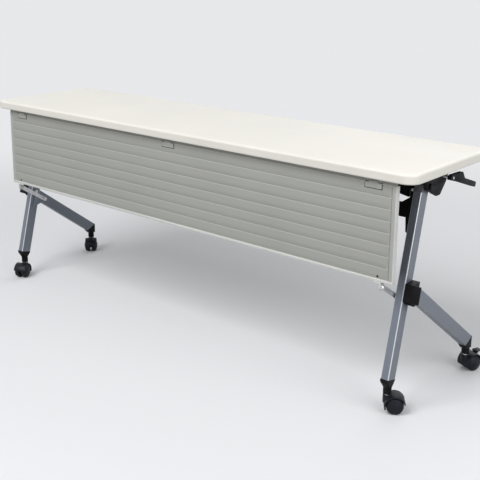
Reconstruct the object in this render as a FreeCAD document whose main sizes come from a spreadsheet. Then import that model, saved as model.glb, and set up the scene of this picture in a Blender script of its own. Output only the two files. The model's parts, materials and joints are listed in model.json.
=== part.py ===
import FreeCAD, Part
import os
import re
import Sketcher

# Flip-top stacking table on twin-wheel casters, with a hanging modesty panel.
# X runs along the table, Y from the panel (front) to the seat (rear), Z up from the floor.
# The origin is on the floor, midway between the four caster stems. Lengths are in millimetres.
# "ahead" is a distance in front of the top's middle, "behind" one to the rear of it,
# and "across" one from the middle towards either end.

SIZES = {
    # Table top
    "top_length": 1800,
    "top_depth": 450,
    "top_height": 700,
    "top_thickness": 28,
    "top_corner_radius": 40,
    "band_width": 12,
    "band_upper_round": 7,
    "band_lower_round": 4,
    # Tubes of the end frames
    "post_inset": 72,
    "post_width": 25,
    "post_depth": 40,
    "tube_wall": 2,
    "tube_corner_round": 3,
    "foot_inset": 43,
    "foot_height": 100,
    "pivot_ahead": 47.5,
    "pivot_drop": 42,
    "post_end_drop": 14,
    "leg_outset": 48,
    "leg_depth": 40,
    "leg_fall_angle": 36.5,
    "leg_cut_angle": 26,
    "rear_foot_inset": 25,
    "leg_low_corner_height": 93,
    "leg_low_corner_lead": 28,
    # Joint blocks between post and rear leg
    "block_cap": 4,
    "block_lip": 3,
    "hub_radius": 27,
    "hub_rise": 9,
    "hub_behind": 8,
    "joint_bolt_spread": 13,
    "joint_bolt_grip": 15,
    "bolt_radius": 4,
    "bolt_head_radius": 7,
    "bolt_head_height": 4,
    "bolt_socket_radius": 2.5,
    "bolt_socket_depth": 2,
    "running_gap": 0.05,
    "side_gap": 0.5,
    # Post heads and pivots
    "head_rise": 24,
    "head_lip": 24,
    "head_nose": 12,
    "head_round": 4,
    "tongue_length": 28,
    "tongue_gap": 0.3,
    "stud_behind_pivot": 14.5,
    "stud_below_pivot": 10,
    "stud_radius": 4,
    "stud_length": 6.5,
    "pivot_radius": 5,
    "pivot_head_radius": 9,
    "pivot_head_height": 5,
    "bush_radius": 10,
    "bush_thickness": 4,
    # Cross beam and its ends, measured along the leaning post from the pivot
    "beam_depth": 30,
    "beam_top_drop": 55,
    "beam_bottom_drop": 95,
    "beam_end_reach": 33,
    "beam_end_plate": 10,
    "beam_end_top": 12,
    "beam_end_shoulder_drop": 38,
    "beam_end_root": 13,
    "beam_end_toe": 6,
    "beam_end_toe_drop": 134,
    "beam_end_tip_drop": 138,
    "beam_plug_inset": 5,
    "beam_plug_drop": 16,
    # Brackets under the top
    "bracket_plate": 5,
    "bracket_inner_reach": 76,
    "bracket_outer_reach": 34,
    "bracket_ahead": 100,
    "bracket_behind": 110,
    "cheek_thickness": 5,
    "cheek_gap": 0.3,
    "cheek_lobe_radius": 16,
    "cheek_shoulder": 38,
    "outer_cheek_inset": 8,
    "outer_cheek_depth": 76,
    "outer_cheek_round": 10,
    "arm_depth": 30,
    "arm_end_drop": 70,
    "arm_root_drop": 78,
    "arm_screw_reach": 62,
    "arm_screw_drop": 61,
    "short_screw_length": 10,
    "screw_inset": 10,
    "screw_radius": 2,
    "screw_length": 18,
    "screw_head_radius": 4,
    "screw_head_height": 2,
    # Lock levers and hooks
    "lever_pivot_behind": 28,
    "lever_pivot_drop": 26,
    "lever_inset": 27.5,
    "lever_width": 12,
    "lever_length": 142,
    "lever_drop": 48,
    "lever_round": 5,
    "hook_thickness": 4,
    "hook_gap": 2,
    "hook_hub_radius": 9,
    "hook_nose_radius": 24,
    "hook_nose_angle": 36.5,
    "hook_width": 11,
    "shaft_radius": 4,
    # Modesty panel and its hinges
    "panel_end_inset": 60,
    "panel_inset": 21,
    "panel_drop": 14,
    "panel_height": 273,
    "panel_sheet": 3,
    "panel_flange": 14,
    "panel_strip_count": 8,
    "groove_width": 4,
    "groove_depth": 1.2,
    "trim_width": 22,
    "trim_bead_width": 5,
    "trim_bead_height": 1.5,
    "rail_height": 8,
    "rail_proud": 3,
    "rail_round": 1.5,
    "rail_notch_depth": 9,
    "hinge_setback": 4.5,
    "hinge_rise": 5,
    "hinge_inset": 132,
    "hinge_half_width": 26,
    "barrel_half_width": 13.5,
    "barrel_radius": 4,
    "hinge_pin_radius": 1.75,
    "hinge_plate": 2.5,
    "hinge_plate_depth": 34,
    "clip_thickness": 1.5,
    "clip_height": 15,
    # Links between panel and posts
    "link_anchor_reach": 44,
    "link_anchor_drop": 48.9,
    "link_end_setback": 5.5,
    "link_end_drop": 15,
    "link_width": 14,
    "link_thickness": 5,
    "rivet_radius": 4.5,
    "rivet_height": 2.5,
    "anchor_thickness": 4,
    "anchor_radius": 11,
    "anchor_foot": 22,
    "anchor_lap": 16,
    "ear_thickness": 5,
    "ear_radius": 10,
    "ear_base_length": 26,
    "ear_base_thickness": 3,
    # Foot plugs
    "neck_radius": 12,
    "neck_top": 76,
    "neck_groove_height": 66,
    "neck_groove_depth": 1,
    "plug_flare_radius": 26,
    "plug_clear": 60,
    # Casters
    "collar_top": 57,
    "collar_height": 4,
    "collar_radius": 9,
    "stem_radius": 5,
    "stem_top": 77,
    "stem_bottom": 42,
    "swivel_gap": 0.5,
    "boss_radius": 12,
    "boss_bottom": 30,
    "wheel_radius": 25,
    "wheel_width": 19,
    "wheel_edge_round": 4,
    "wheel_dome": 4,
    "wheel_gap": 0.75,
    "wheel_bore_depth": 14,
    "axle_radius": 4,
    "trail": 22,
    "web_thickness": 8,
    "fender_gap": 1.5,
    "fender_thickness": 4,
    "fender_width": 46,
    "fender_low": 16,
    "web_boss_reach": 10,
    "fender_back_reach": 34,
    "fender_back_height": 38,
    "front_right_turn_angle": -55,
    "front_left_turn_angle": -154,
    "rear_right_turn_angle": -24,
    "rear_left_turn_angle": -134,
    # Brake pedals of the rear casters
    "pedal_place_angle": 60,
    "pedal_lug_half": 5,
    "pedal_half_width": 10,
    "pedal_barrel_radius": 4,
    "pedal_pin_radius": 2,
    "pedal_length": 18,
    "pedal_thickness": 3,
    # Overrun of cuts
    "overrun": 5,
}

FORMULAS = {
    "under_top": "top_height - top_thickness",
    "post_across": "top_length / 2 - post_inset",
    "pivot_height": "under_top - pivot_drop",
    "foot_ahead": "top_depth / 2 - foot_inset",
    "rear_foot_behind": "top_depth / 2 - rear_foot_inset",
    "footprint_middle": "(rear_foot_behind - foot_ahead) / 2",
    "post_slope": "(foot_ahead - pivot_ahead) / (pivot_height - foot_height)",
    "post_stretch": "sqrt(1 + post_slope ^ 2)",
    "post_reach": "post_depth / 2 * post_stretch",
    "bore_reach": "(post_depth / 2 - tube_wall) * post_stretch",
    "post_top": "pivot_height - post_end_drop",
    "lean_angle": "atan(post_slope)",
    "foot_run": "post_depth / 2 * cos(lean_angle)",
    "foot_rise": "post_depth / 2 * sin(lean_angle)",
    "right_angle": "2 * atan(1)",
    "leg_fall": "tan(leg_fall_angle)",
    "leg_cut": "leg_depth / sin(leg_fall_angle + leg_cut_angle)",
    "low_y": "rear_foot_behind - leg_low_corner_lead",
    "low_z": "leg_low_corner_height",
    "high_y": "low_y + leg_cut * cos(leg_cut_angle)",
    "high_z": "low_z + leg_cut * sin(leg_cut_angle)",
    "wall_rise": "tube_wall / cos(leg_fall_angle)",
    "leg_line": "pivot_ahead + post_reach - block_cap * post_stretch + pivot_height * post_slope",
    "leg_end_low": "(low_z + leg_fall * (low_y + leg_line)) / (1 + post_slope * leg_fall)",
    "leg_end_high": "(high_z + leg_fall * (high_y + leg_line)) / (1 + post_slope * leg_fall)",
    "block_low": "leg_end_low - block_lip",
    "block_high": "leg_end_high + block_lip",
    "block_middle": "(block_low + block_high) / 2",
    "hub_height": "block_low + hub_rise",
    "spacer_width": "leg_outset - post_width",
    "inner_cheek_near": "post_width / 2 + beam_end_plate + bush_thickness + cheek_gap",
    "outer_cheek_near": "post_width / 2 + outer_cheek_inset",
    "lever_pivot_height": "under_top - lever_pivot_drop",
    "lever_offset": "post_inset - lever_inset + lever_width / 2",
    "panel_half_length": "top_length / 2 - panel_end_inset",
    "panel_ahead": "top_depth / 2 - panel_inset",
    "panel_top": "under_top - panel_drop",
    "panel_bottom": "panel_top - panel_height",
    "hinge_ahead": "panel_ahead - hinge_setback",
    "hinge_height": "panel_top + hinge_rise",
    "hinge_spacing": "top_length / 2 - hinge_inset",
    "link_anchor_height": "block_middle - link_anchor_drop",
    "link_anchor_ahead": "-post_at_anchor - link_anchor_reach",
    "post_at_anchor": "(link_anchor_height - pivot_height) * post_slope - pivot_ahead",
    "link_end_ahead": "panel_ahead - link_end_setback",
    "link_end_height": "panel_bottom - link_end_drop",
    "link_inset": "post_width / 2 + anchor_thickness + side_gap + link_thickness / 2",
    "ear_inset": "link_inset + link_thickness / 2 + side_gap + ear_thickness / 2",
    "link_run": "link_end_ahead - link_anchor_ahead",
    "link_rise": "link_end_height - link_anchor_height",
    "link_length": "sqrt(link_run ^ 2 + link_rise ^ 2)",
    "wheel_offset": "web_thickness / 2 + wheel_gap",
    "fender_inner": "wheel_radius + fender_gap",
    "fender_outer": "fender_inner + fender_thickness",
    "pedal_lift": "fender_outer + pedal_barrel_radius + side_gap",
    "pedal_y": "trail + pedal_lift * cos(pedal_place_angle)",
    "pedal_z": "wheel_radius + pedal_lift * sin(pedal_place_angle)",
}

# Corners of the lever as shares of its length behind and its drop below its shaft
LEVER_SHARES = (
    (-0.155, 0.04),
    (-0.07, -0.21),
    (0.394, -0.167),
    (0.493, 0.27),
    (1.014, 0.79),
    (0.986, 1.104),
    (0.24, 0.375),
)

SIDES = {"left": -1, "right": 1}
TINY = 1e-6

doc = FreeCAD.newDocument("stacking_table")
sheet = doc.addObject("Spreadsheet::Sheet", "Sizes")
for row, (size_name, size) in enumerate(SIZES.items(), 1):
    sheet.set(f"A{row}", size_name)
    sheet.set(f"B{row}", str(size))
    sheet.setAlias(f"B{row}", size_name)
doc.recompute()

pieces = []


def formula(text):
    """Writes a formula out in cells of the sheet."""

    def word(match):
        name = match.group(0)
        if name in SIZES:
            return "Sizes." + name
        if name in FORMULAS:
            return "(" + formula(FORMULAS[name]) + ")"
        return name

    return re.sub(r"[a-z][a-z_]*", word, str(text))


def value(text):
    """Works a formula out."""
    return float(sheet.evalExpression(formula(text)))


def post_axis(height):
    """The post's centre line at a height, as a place along Y."""
    return f"((({height}) - pivot_height) * post_slope - pivot_ahead)"


def start_body(name, across="0", y="0", z="0"):
    """Starts a named piece with its own origin."""
    body = doc.addObject("PartDesign::Body", name)
    body.Label = name
    body.setExpression("Placement.Base.x", formula(across))
    body.setExpression("Placement.Base.y", formula(f"{y} - footprint_middle"))
    body.setExpression("Placement.Base.z", formula(z))
    pieces.append(body)
    return body


def tilt(body, angle):
    """Tilts a piece about X, so that its top goes to the rear."""
    body.Placement.Rotation = FreeCAD.Rotation(FreeCAD.Vector(-1, 0, 0), value(angle))
    body.setExpression("Placement.Rotation.Angle", formula(angle))


def start_sketch(body, plane, shift="0"):
    """Starts a sketch on one of the piece's own origin planes, shifted along its normal."""
    sketch = body.newObject("Sketcher::SketchObject", body.Name + "_sketch")
    support = next(item for item in body.Origin.OriginFeatures if item.Role == plane)
    sketch.AttachmentSupport = (support, "")
    sketch.MapMode = "FlatFace"
    sketch.setExpression("AttachmentOffset.Base.z", formula(shift))
    return sketch


def pin_point(sketch, curve, end, place):
    """Holds one point of a sketch at a place given by two formulas."""
    for kind, text in zip(("DistanceX", "DistanceY"), place):
        number = sketch.addConstraint(Sketcher.Constraint(kind, -1, 1, curve, end, value(text)))
        sketch.setExpression(f"Constraints[{number}]", formula(text))


def draw_polygon(sketch, places):
    """Draws a closed outline through the places."""
    corners = [FreeCAD.Vector(value(a), value(b), 0) for a, b in places]
    first = sketch.GeometryCount
    count = len(corners)
    for step in range(count):
        line = Part.LineSegment(corners[step], corners[(step + 1) % count])
        sketch.addGeometry(line, False)
    for step in range(count):
        follower = first + (step + 1) % count
        sketch.addConstraint(Sketcher.Constraint("Coincident", first + step, 2, follower, 1))
    for step, place in enumerate(places):
        pin_point(sketch, first + step, 1, place)


def draw_circle(sketch, place, radius):
    """Draws a circle round a place."""
    centre = FreeCAD.Vector(value(place[0]), value(place[1]), 0)
    normal = FreeCAD.Vector(0, 0, 1)
    curve = sketch.addGeometry(Part.Circle(centre, normal, value(radius)), False)
    pin_point(sketch, curve, 3, place)
    number = sketch.addConstraint(Sketcher.Constraint("Radius", curve, value(radius)))
    sketch.setExpression(f"Constraints[{number}]", formula(radius))


def draw_shape(sketch, shape):
    """Draws a circle given as (place, radius) or an outline given as a list of places."""
    if isinstance(shape, tuple):
        draw_circle(sketch, *shape)
    else:
        draw_polygon(sketch, shape)


def pad(body, plane, shape, length, shift="0", centred=True):
    """Raises an outline or circle, to both sides of its plane or to the plane's front."""
    sketch = start_sketch(body, plane, shift)
    draw_shape(sketch, shape)
    feature = body.newObject("PartDesign::Pad", body.Name + "_pad")
    feature.Profile = sketch
    feature.Midplane = centred
    feature.setExpression("Length", formula(length))
    doc.recompute()
    return feature


def pocket(body, plane, shapes, length, shift="0"):
    """Cuts outlines or circles out, to both sides of their plane."""
    sketch = start_sketch(body, plane, shift)
    for shape in shapes:
        draw_shape(sketch, shape)
    before = body.Shape.Volume
    feature = body.newObject("PartDesign::Pocket", body.Name + "_pocket")
    feature.Profile = sketch
    feature.Midplane = True
    feature.setExpression("Length", formula(length))
    doc.recompute()
    if body.Shape.Volume >= before:
        raise ValueError(body.Name + " has a pocket that cuts nothing")
    return feature


def revolve(body, plane, outline, axis):
    """Turns an outline a full turn about an axis of its sketch."""
    sketch = start_sketch(body, plane)
    draw_polygon(sketch, outline)
    feature = body.newObject("PartDesign::Revolution", body.Name + "_turned")
    feature.Profile = sketch
    feature.ReferenceAxis = (sketch, [axis])
    doc.recompute()
    return feature


def round_edges(body, radius, wanted):
    """Rounds the edges of the piece's last feature that the test picks."""
    base = body.Tip
    names = []
    for number, edge in enumerate(base.Shape.Edges, 1):
        middle = edge.valueAt((edge.FirstParameter + edge.LastParameter) / 2)
        along = edge.tangentAt(edge.FirstParameter)
        if wanted(middle, along):
            names.append(f"Edge{number}")
    feature = body.newObject("PartDesign::Fillet", body.Name + "_round")
    feature.Base = (base, names)
    feature.setExpression("Radius", formula(radius))
    doc.recompute()
    return feature


def runs_across(middle, along):
    """An edge that runs along X."""
    return abs(along.x) == 1


def runs_upright(middle, along):
    """An edge that runs along Z."""
    return abs(along.z) == 1


def box_outline(low_a, low_b, high_a, high_b):
    """A rectangle from its low and high corners."""
    return [(low_a, low_b), (high_a, low_b), (high_a, high_b), (low_a, high_b)]


def screw_places():
    """The places of the wood screws: four in each bracket and two in each hinge."""
    places = []
    for side in SIDES.values():
        centre = side * value("post_across")
        inner = value("bracket_inner_reach") - value("screw_inset")
        outer = value("bracket_outer_reach") - value("screw_inset")
        front = value("screw_inset") - value("bracket_ahead")
        rear = value("bracket_behind") - value("screw_inset")
        for x in (centre - side * inner, centre + side * outer):
            for y in (front, rear):
                places.append((x, y, value("under_top - bracket_plate")))
    reach = value("hinge_plate_depth - screw_inset - hinge_ahead")
    for x in hinge_places():
        for step in (-1, 1):
            offset = step * value("barrel_half_width")
            places.append((x + offset, reach, value("under_top - hinge_plate")))
    return places


def hinge_places():
    """The places of the three hinges along the panel."""
    return [-value("hinge_spacing"), 0, value("hinge_spacing")]


def make_top_board():
    """The laminated core board, with pilot holes for the screws."""
    body = start_body("top_board", z="under_top")
    half_length = "(top_length / 2 - band_width)"
    half_depth = "(top_depth / 2 - band_width)"
    outline = box_outline("-" + half_length, "-" + half_depth, half_length, half_depth)
    pad(body, "XY_Plane", outline, "top_thickness", centred=False)
    round_edges(body, "top_corner_radius - band_width", runs_upright)
    side_x = "(post_across + bracket_outer_reach - screw_inset)"
    near_x = "(post_across - bracket_inner_reach + screw_inset)"
    rows = ("(screw_inset - bracket_ahead)", "(bracket_behind - screw_inset)")
    radius = "screw_radius + running_gap"
    holes = []
    for sign in ("-", ""):
        for x in (near_x, side_x):
            for y in rows:
                holes.append(((sign + x, y), radius))
    for x in ("-hinge_spacing", "0", "hinge_spacing"):
        for sign in ("-", "+"):
            place = (f"{x} {sign} barrel_half_width", "hinge_plate_depth - screw_inset - hinge_ahead")
            holes.append((place, radius))
    pocket(body, "XY_Plane", holes, "2 * (screw_length + overrun)")


def make_edge_band():
    """The soft edge moulded round the core board."""
    body = start_body("edge_band", z="under_top")
    outline = box_outline("-top_length / 2", "-top_depth / 2", "top_length / 2", "top_depth / 2")
    pad(body, "XY_Plane", outline, "top_thickness", centred=False)
    round_edges(body, "top_corner_radius", runs_upright)
    half_length = "(top_length / 2 - band_width)"
    half_depth = "(top_depth / 2 - band_width)"
    inner = box_outline("-" + half_length, "-" + half_depth, half_length, half_depth)
    pocket(body, "XY_Plane", [inner], "2 * (top_thickness + overrun)")
    edge_x = value(half_length)
    edge_y = value(half_depth)
    thickness = value("top_thickness")

    def beyond(middle):
        return max(abs(middle.x) - edge_x, abs(middle.y) - edge_y)

    round_edges(
        body,
        "top_corner_radius - band_width",
        lambda middle, along: abs(along.z) == 1 and abs(beyond(middle)) < TINY
        and abs(abs(middle.x) - edge_x) < TINY,
    )
    round_edges(
        body,
        "band_upper_round",
        lambda middle, along: beyond(middle) > TINY and abs(middle.z - thickness) < TINY,
    )
    round_edges(
        body,
        "band_lower_round",
        lambda middle, along: beyond(middle) > TINY and abs(middle.z) < TINY,
    )


def make_front_post(name, side):
    """The leaning front tube, cut square below and level above, with holes for the joint bolts."""
    body = start_body(name, across=f"{side} * post_across")
    foot = post_axis("foot_height")
    top = post_axis("post_top")
    outline = [
        (f"{foot} - foot_run", "foot_height + foot_rise"),
        (f"{foot} + foot_run", "foot_height - foot_rise"),
        (f"{top} + post_reach", "post_top"),
        (f"{top} - post_reach", "post_top"),
    ]
    pad(body, "YZ_Plane", outline, "post_width")
    low = "(foot_height - foot_rise - overrun)"
    high = "(post_top + overrun)"
    bore = [
        (f"{post_axis(low)} - bore_reach", low),
        (f"{post_axis(low)} + bore_reach", low),
        (f"{post_axis(high)} + bore_reach", high),
        (f"{post_axis(high)} - bore_reach", high),
    ]
    pocket(body, "YZ_Plane", [bore], "post_width - 2 * tube_wall")
    pocket(body, "YZ_Plane", joint_bolt_holes(), "post_width + 2 * overrun")
    half = value("post_width / 2")
    rise = value("1 / post_stretch")

    def long_outer(middle, along):
        return abs(abs(middle.x) - half) < TINY and abs(abs(along.z) - rise) < TINY

    round_edges(body, "tube_corner_round", long_outer)


def joint_bolt_holes():
    """Circles round the two bolts that clamp the joint block to the post."""
    holes = []
    for sign in ("-", "+"):
        height = f"block_middle {sign} joint_bolt_spread"
        holes.append(((post_axis(height), height), "bolt_radius + running_gap"))
    return holes


def leg_line(y, corner_y, corner_z, rise="0"):
    """A place on a line along the rear leg, at y."""
    return (y, f"{corner_z} + ({corner_y} - ({y})) * leg_fall + {rise}")


def make_rear_leg(name, side):
    """The rear tube, cut to the joint block above and across its plug below."""
    body = start_body(name, across=f"{side} * (post_across + leg_outset)")
    edge_at = "({} * post_slope - leg_line)"
    outline = [
        ("low_y", "low_z"),
        ("high_y", "high_z"),
        (edge_at.format("leg_end_high"), "leg_end_high"),
        (edge_at.format("leg_end_low"), "leg_end_low"),
    ]
    pad(body, "YZ_Plane", outline, "post_width")
    near = "-foot_ahead"
    far = "rear_foot_behind + leg_depth"
    bore = [
        leg_line(near, "low_y", "low_z", "wall_rise"),
        leg_line(far, "low_y", "low_z", "wall_rise"),
        leg_line(far, "high_y", "high_z", "(-wall_rise)"),
        leg_line(near, "high_y", "high_z", "(-wall_rise)"),
    ]
    pocket(body, "YZ_Plane", [bore], "post_width - 2 * tube_wall")
    half = value("post_width / 2")
    fall = value("sin(leg_fall_angle)")

    def long_outer(middle, along):
        return abs(abs(middle.x) - half) < TINY and abs(abs(along.z) - fall) < TINY

    round_edges(body, "tube_corner_round", long_outer)


def make_joint_block(name, side):
    """The black block that holds the rear leg beside the post and caps its end."""
    body = start_body(name, across=f"{side} * (post_across + leg_outset / 2)")
    low = post_axis("block_low")
    high = post_axis("block_high")
    spacer = [
        (f"{low} - post_reach", "block_low"),
        (f"{low} + post_reach", "block_low"),
        (f"{high} + post_reach", "block_high"),
        (f"{high} - post_reach", "block_high"),
    ]
    pad(body, "YZ_Plane", spacer, "spacer_width")
    hub = ((f"{post_axis('hub_height')} + hub_behind", "hub_height"), "hub_radius")
    pad(body, "YZ_Plane", hub, "spacer_width")
    cap_depth = "(block_cap * post_stretch - post_reach)"
    cap = [
        (f"{low} - post_reach", "block_low"),
        (f"{low} + {cap_depth}", "block_low"),
        (f"{high} + {cap_depth}", "block_high"),
        (f"{high} - post_reach", "block_high"),
    ]
    pad(body, "YZ_Plane", cap, "leg_outset", shift=f"{side} * post_width / 2")
    grip = "2 * joint_bolt_grip"
    pocket(body, "YZ_Plane", joint_bolt_holes(), grip, shift=f"-({side}) * spacer_width / 2")


def make_post_head(name, side):
    """The grey fitting in the post's top end, with the pivot bore and the lock stud."""
    body = start_body(name, across=f"{side} * post_across")
    end = post_axis("post_top")
    outline = [
        (f"{end} - post_reach", "post_top"),
        (f"{end} + post_reach", "post_top"),
        ("head_lip - pivot_ahead", "pivot_height + head_rise"),
        ("-head_nose - pivot_ahead", "pivot_height + head_rise"),
    ]
    pad(body, "YZ_Plane", outline, "post_width")
    crown = value("pivot_height + head_rise")
    round_edges(
        body,
        "head_round",
        lambda middle, along: abs(along.x) == 1 and abs(middle.z - crown) < TINY,
    )
    reach = "(bore_reach - tongue_gap)"
    low = "(post_top - tongue_length)"
    tongue = [
        (f"{post_axis(low)} - {reach}", low),
        (f"{post_axis(low)} + {reach}", low),
        (f"{end} + {reach}", "post_top"),
        (f"{end} - {reach}", "post_top"),
    ]
    pad(body, "YZ_Plane", tongue, "post_width - 2 * (tube_wall + tongue_gap)")
    place = ("stud_behind_pivot - pivot_ahead", "pivot_height - stud_below_pivot")
    shift = f"{side} * (post_width + stud_length) / 2"
    pad(body, "YZ_Plane", (place, "stud_radius"), "stud_length", shift=shift)
    bore = (("-pivot_ahead", "pivot_height"), "pivot_radius + running_gap")
    pocket(body, "YZ_Plane", [bore], "post_width + 2 * overrun")


def short_bore(body, place, face):
    """Bores a front face for a short screw or plug, at a distance ahead of the piece's origin."""
    length = "2 * (short_screw_length + side_gap)"
    pocket(body, "XZ_Plane", [(place, "screw_radius + running_gap")], length, shift=face)


def short_screw(mouth, ahead):
    """A short screw or plug, whose head lies on a front face."""
    shank = rod(value("screw_radius"), mouth - ahead * value("short_screw_length"), mouth, ahead)
    head = rod(value("screw_head_radius"), mouth, mouth + ahead * value("screw_head_height"), ahead)
    return head.fuse(shank).removeSplitter()


def make_beam_end(name, side):
    """The black bracket on the post's inner side that carries the beam and the pivot."""
    across = f"{side} * (post_across - post_width / 2)"
    body = start_body(name, across=across, y="-pivot_ahead", z="pivot_height")
    inward = f"-({side})"
    corners = (
        ("0", "-beam_end_tip_drop"),
        ("beam_end_toe", "-beam_end_toe_drop"),
        ("beam_end_root", "-beam_bottom_drop"),
        ("beam_end_reach", "-beam_bottom_drop"),
        ("beam_end_reach", "-beam_top_drop"),
        ("beam_end_plate", "-beam_end_shoulder_drop"),
        ("beam_end_plate", "beam_end_top"),
        ("0", "beam_end_top"),
    )
    outline = [(f"{inward} * {reach}", height) for reach, height in corners]
    pad(body, "XZ_Plane", outline, "beam_depth")
    bore = (("0", "0"), "pivot_radius + running_gap")
    pocket(body, "YZ_Plane", [bore], "2 * (beam_end_plate + overrun)")
    short_bore(body, (f"{inward} * beam_plug_inset", "-beam_plug_drop"), "beam_depth / 2")
    crown = value("beam_end_top")
    round_edges(
        body,
        "head_round",
        lambda middle, along: abs(along.x) == 1 and abs(middle.z - crown) < TINY,
    )
    tilt(body, "lean_angle")


def make_cross_beam():
    """The black tube that joins the two end frames."""
    body = start_body("cross_beam", y="-pivot_ahead", z="pivot_height")
    outer = box_outline("-beam_depth / 2", "-beam_bottom_drop", "beam_depth / 2", "-beam_top_drop")
    length = "2 * (post_across - post_width / 2 - beam_end_reach)"
    pad(body, "YZ_Plane", outer, length)
    round_edges(body, "tube_corner_round", runs_across)
    inner = box_outline(
        "tube_wall - beam_depth / 2",
        "tube_wall - beam_bottom_drop",
        "beam_depth / 2 - tube_wall",
        "-beam_top_drop - tube_wall",
    )
    pocket(body, "YZ_Plane", [inner], f"{length} + 2 * overrun")
    tilt(body, "lean_angle")


def make_top_bracket(name, side):
    """The black bracket under the top: base plate, two cheeks and the inner arm."""
    body = start_body(name, across=f"{side} * post_across")
    plate = box_outline("-bracket_ahead", "under_top - bracket_plate", "bracket_behind", "under_top")
    width = "bracket_inner_reach + bracket_outer_reach"
    shift = f"{side} * (bracket_outer_reach - bracket_inner_reach) / 2"
    pad(body, "YZ_Plane", plate, width, shift=shift)
    pivot = ("-pivot_ahead", "pivot_height")
    inner_shift = f"-({side}) * (inner_cheek_near + cheek_thickness / 2)"
    outer_shift = f"{side} * (outer_cheek_near + cheek_thickness / 2)"
    inner_cheek = [
        ("-pivot_ahead - cheek_shoulder", "under_top"),
        ("-pivot_ahead - cheek_lobe_radius", "pivot_height"),
        ("-pivot_ahead + cheek_lobe_radius", "pivot_height"),
        ("-pivot_ahead + cheek_shoulder", "under_top"),
    ]
    pad(body, "YZ_Plane", inner_cheek, "cheek_thickness", shift=inner_shift)
    pad(body, "YZ_Plane", (pivot, "cheek_lobe_radius"), "cheek_thickness", shift=inner_shift)
    low = "under_top - outer_cheek_depth"
    outer_cheek = [
        ("-pivot_ahead - cheek_shoulder", "under_top"),
        ("-pivot_ahead - cheek_lobe_radius", "pivot_height - cheek_lobe_radius / 2"),
        ("-pivot_ahead + cheek_shoulder", low),
        ("lever_pivot_behind - cheek_lobe_radius", low),
        ("lever_pivot_behind + cheek_lobe_radius", "lever_pivot_height - cheek_lobe_radius"),
        ("lever_pivot_behind + cheek_shoulder", "under_top"),
    ]
    pad(body, "YZ_Plane", outer_cheek, "cheek_thickness", shift=outer_shift)
    roof = value("under_top - bracket_plate")
    across = value("outer_cheek_near")

    def cheek_corner(middle, along):
        return abs(along.x) == 1 and abs(middle.x) > across and middle.z < roof

    round_edges(body, "outer_cheek_round", cheek_corner)
    inward = f"-({side})"
    arm = [
        (f"{inward} * bracket_inner_reach", "under_top"),
        (f"{inward} * bracket_inner_reach", "under_top - arm_end_drop"),
        (f"{inward} * (inner_cheek_near + cheek_thickness)", "under_top - arm_root_drop"),
        (f"{inward} * (inner_cheek_near + cheek_thickness)", "under_top"),
    ]
    pad(body, "XZ_Plane", arm, "arm_depth", shift="pivot_ahead")
    bore = (pivot, "pivot_radius + running_gap")
    pocket(body, "YZ_Plane", [bore], "2 * (bracket_inner_reach + overrun)")
    nut_room = (pivot, "pivot_head_radius + side_gap")
    near = "inner_cheek_near + cheek_thickness"
    room_length = f"bracket_inner_reach - ({near})"
    room_shift = f"-({side}) * (bracket_inner_reach + {near}) / 2"
    pocket(body, "YZ_Plane", [nut_room], room_length, shift=room_shift)
    shaft = (("lever_pivot_behind", "lever_pivot_height"), "shaft_radius + running_gap")
    pocket(body, "YZ_Plane", [shaft], "cheek_thickness + 2 * side_gap", shift=outer_shift)
    holes = []
    for x in ("(screw_inset - bracket_inner_reach)", "(bracket_outer_reach - screw_inset)"):
        for y in ("(screw_inset - bracket_ahead)", "(bracket_behind - screw_inset)"):
            holes.append(((f"{side} * {x}", y), "screw_radius + running_gap"))
    depth = "2 * (bracket_plate + side_gap)"
    pocket(body, "XY_Plane", holes, depth, shift="under_top")
    place = (f"{inward} * arm_screw_reach", "under_top - arm_screw_drop")
    short_bore(body, place, "pivot_ahead + arm_depth / 2")


def make_lever(name, side):
    """The black release lever that the user lifts at the rear edge."""
    across = f"{side} * (post_across + lever_offset)"
    body = start_body(name, across=across, y="lever_pivot_behind", z="lever_pivot_height")
    outline = [(f"{a} * lever_length", f"-({b}) * lever_drop") for a, b in LEVER_SHARES]
    pad(body, "YZ_Plane", outline, "lever_width")
    round_edges(body, "lever_round", runs_across)
    bore = (("0", "0"), "shaft_radius + running_gap")
    pocket(body, "YZ_Plane", [bore], "lever_width + 2 * overrun")


def make_lock_hook(name, side):
    """The steel hook on its shaft, which holds the top to the lock stud."""
    across = f"{side} * post_across"
    body = start_body(name, across=across, y="lever_pivot_behind", z="lever_pivot_height")
    hook_shift = f"{side} * (post_width / 2 + hook_gap + hook_thickness / 2)"
    pad(body, "YZ_Plane", (("0", "0"), "hook_hub_radius"), "hook_thickness", shift=hook_shift)
    nose_y = "-pivot_ahead - lever_pivot_behind + hook_nose_radius * cos(hook_nose_angle)"
    nose_z = "pivot_height - lever_pivot_height - hook_nose_radius * sin(hook_nose_angle)"
    blade = [
        ("0", "hook_hub_radius"),
        (nose_y, nose_z),
        (nose_y, f"{nose_z} - hook_width"),
        ("0", "-hook_hub_radius"),
    ]
    pad(body, "YZ_Plane", blade, "hook_thickness", shift=hook_shift)
    far = "lever_offset + lever_width / 2"
    near = "post_width / 2 + hook_gap"
    shaft_shift = f"{side} * ({far} + {near}) / 2"
    pad(body, "YZ_Plane", (("0", "0"), "shaft_radius"), f"{far} - ({near})", shift=shaft_shift)


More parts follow.
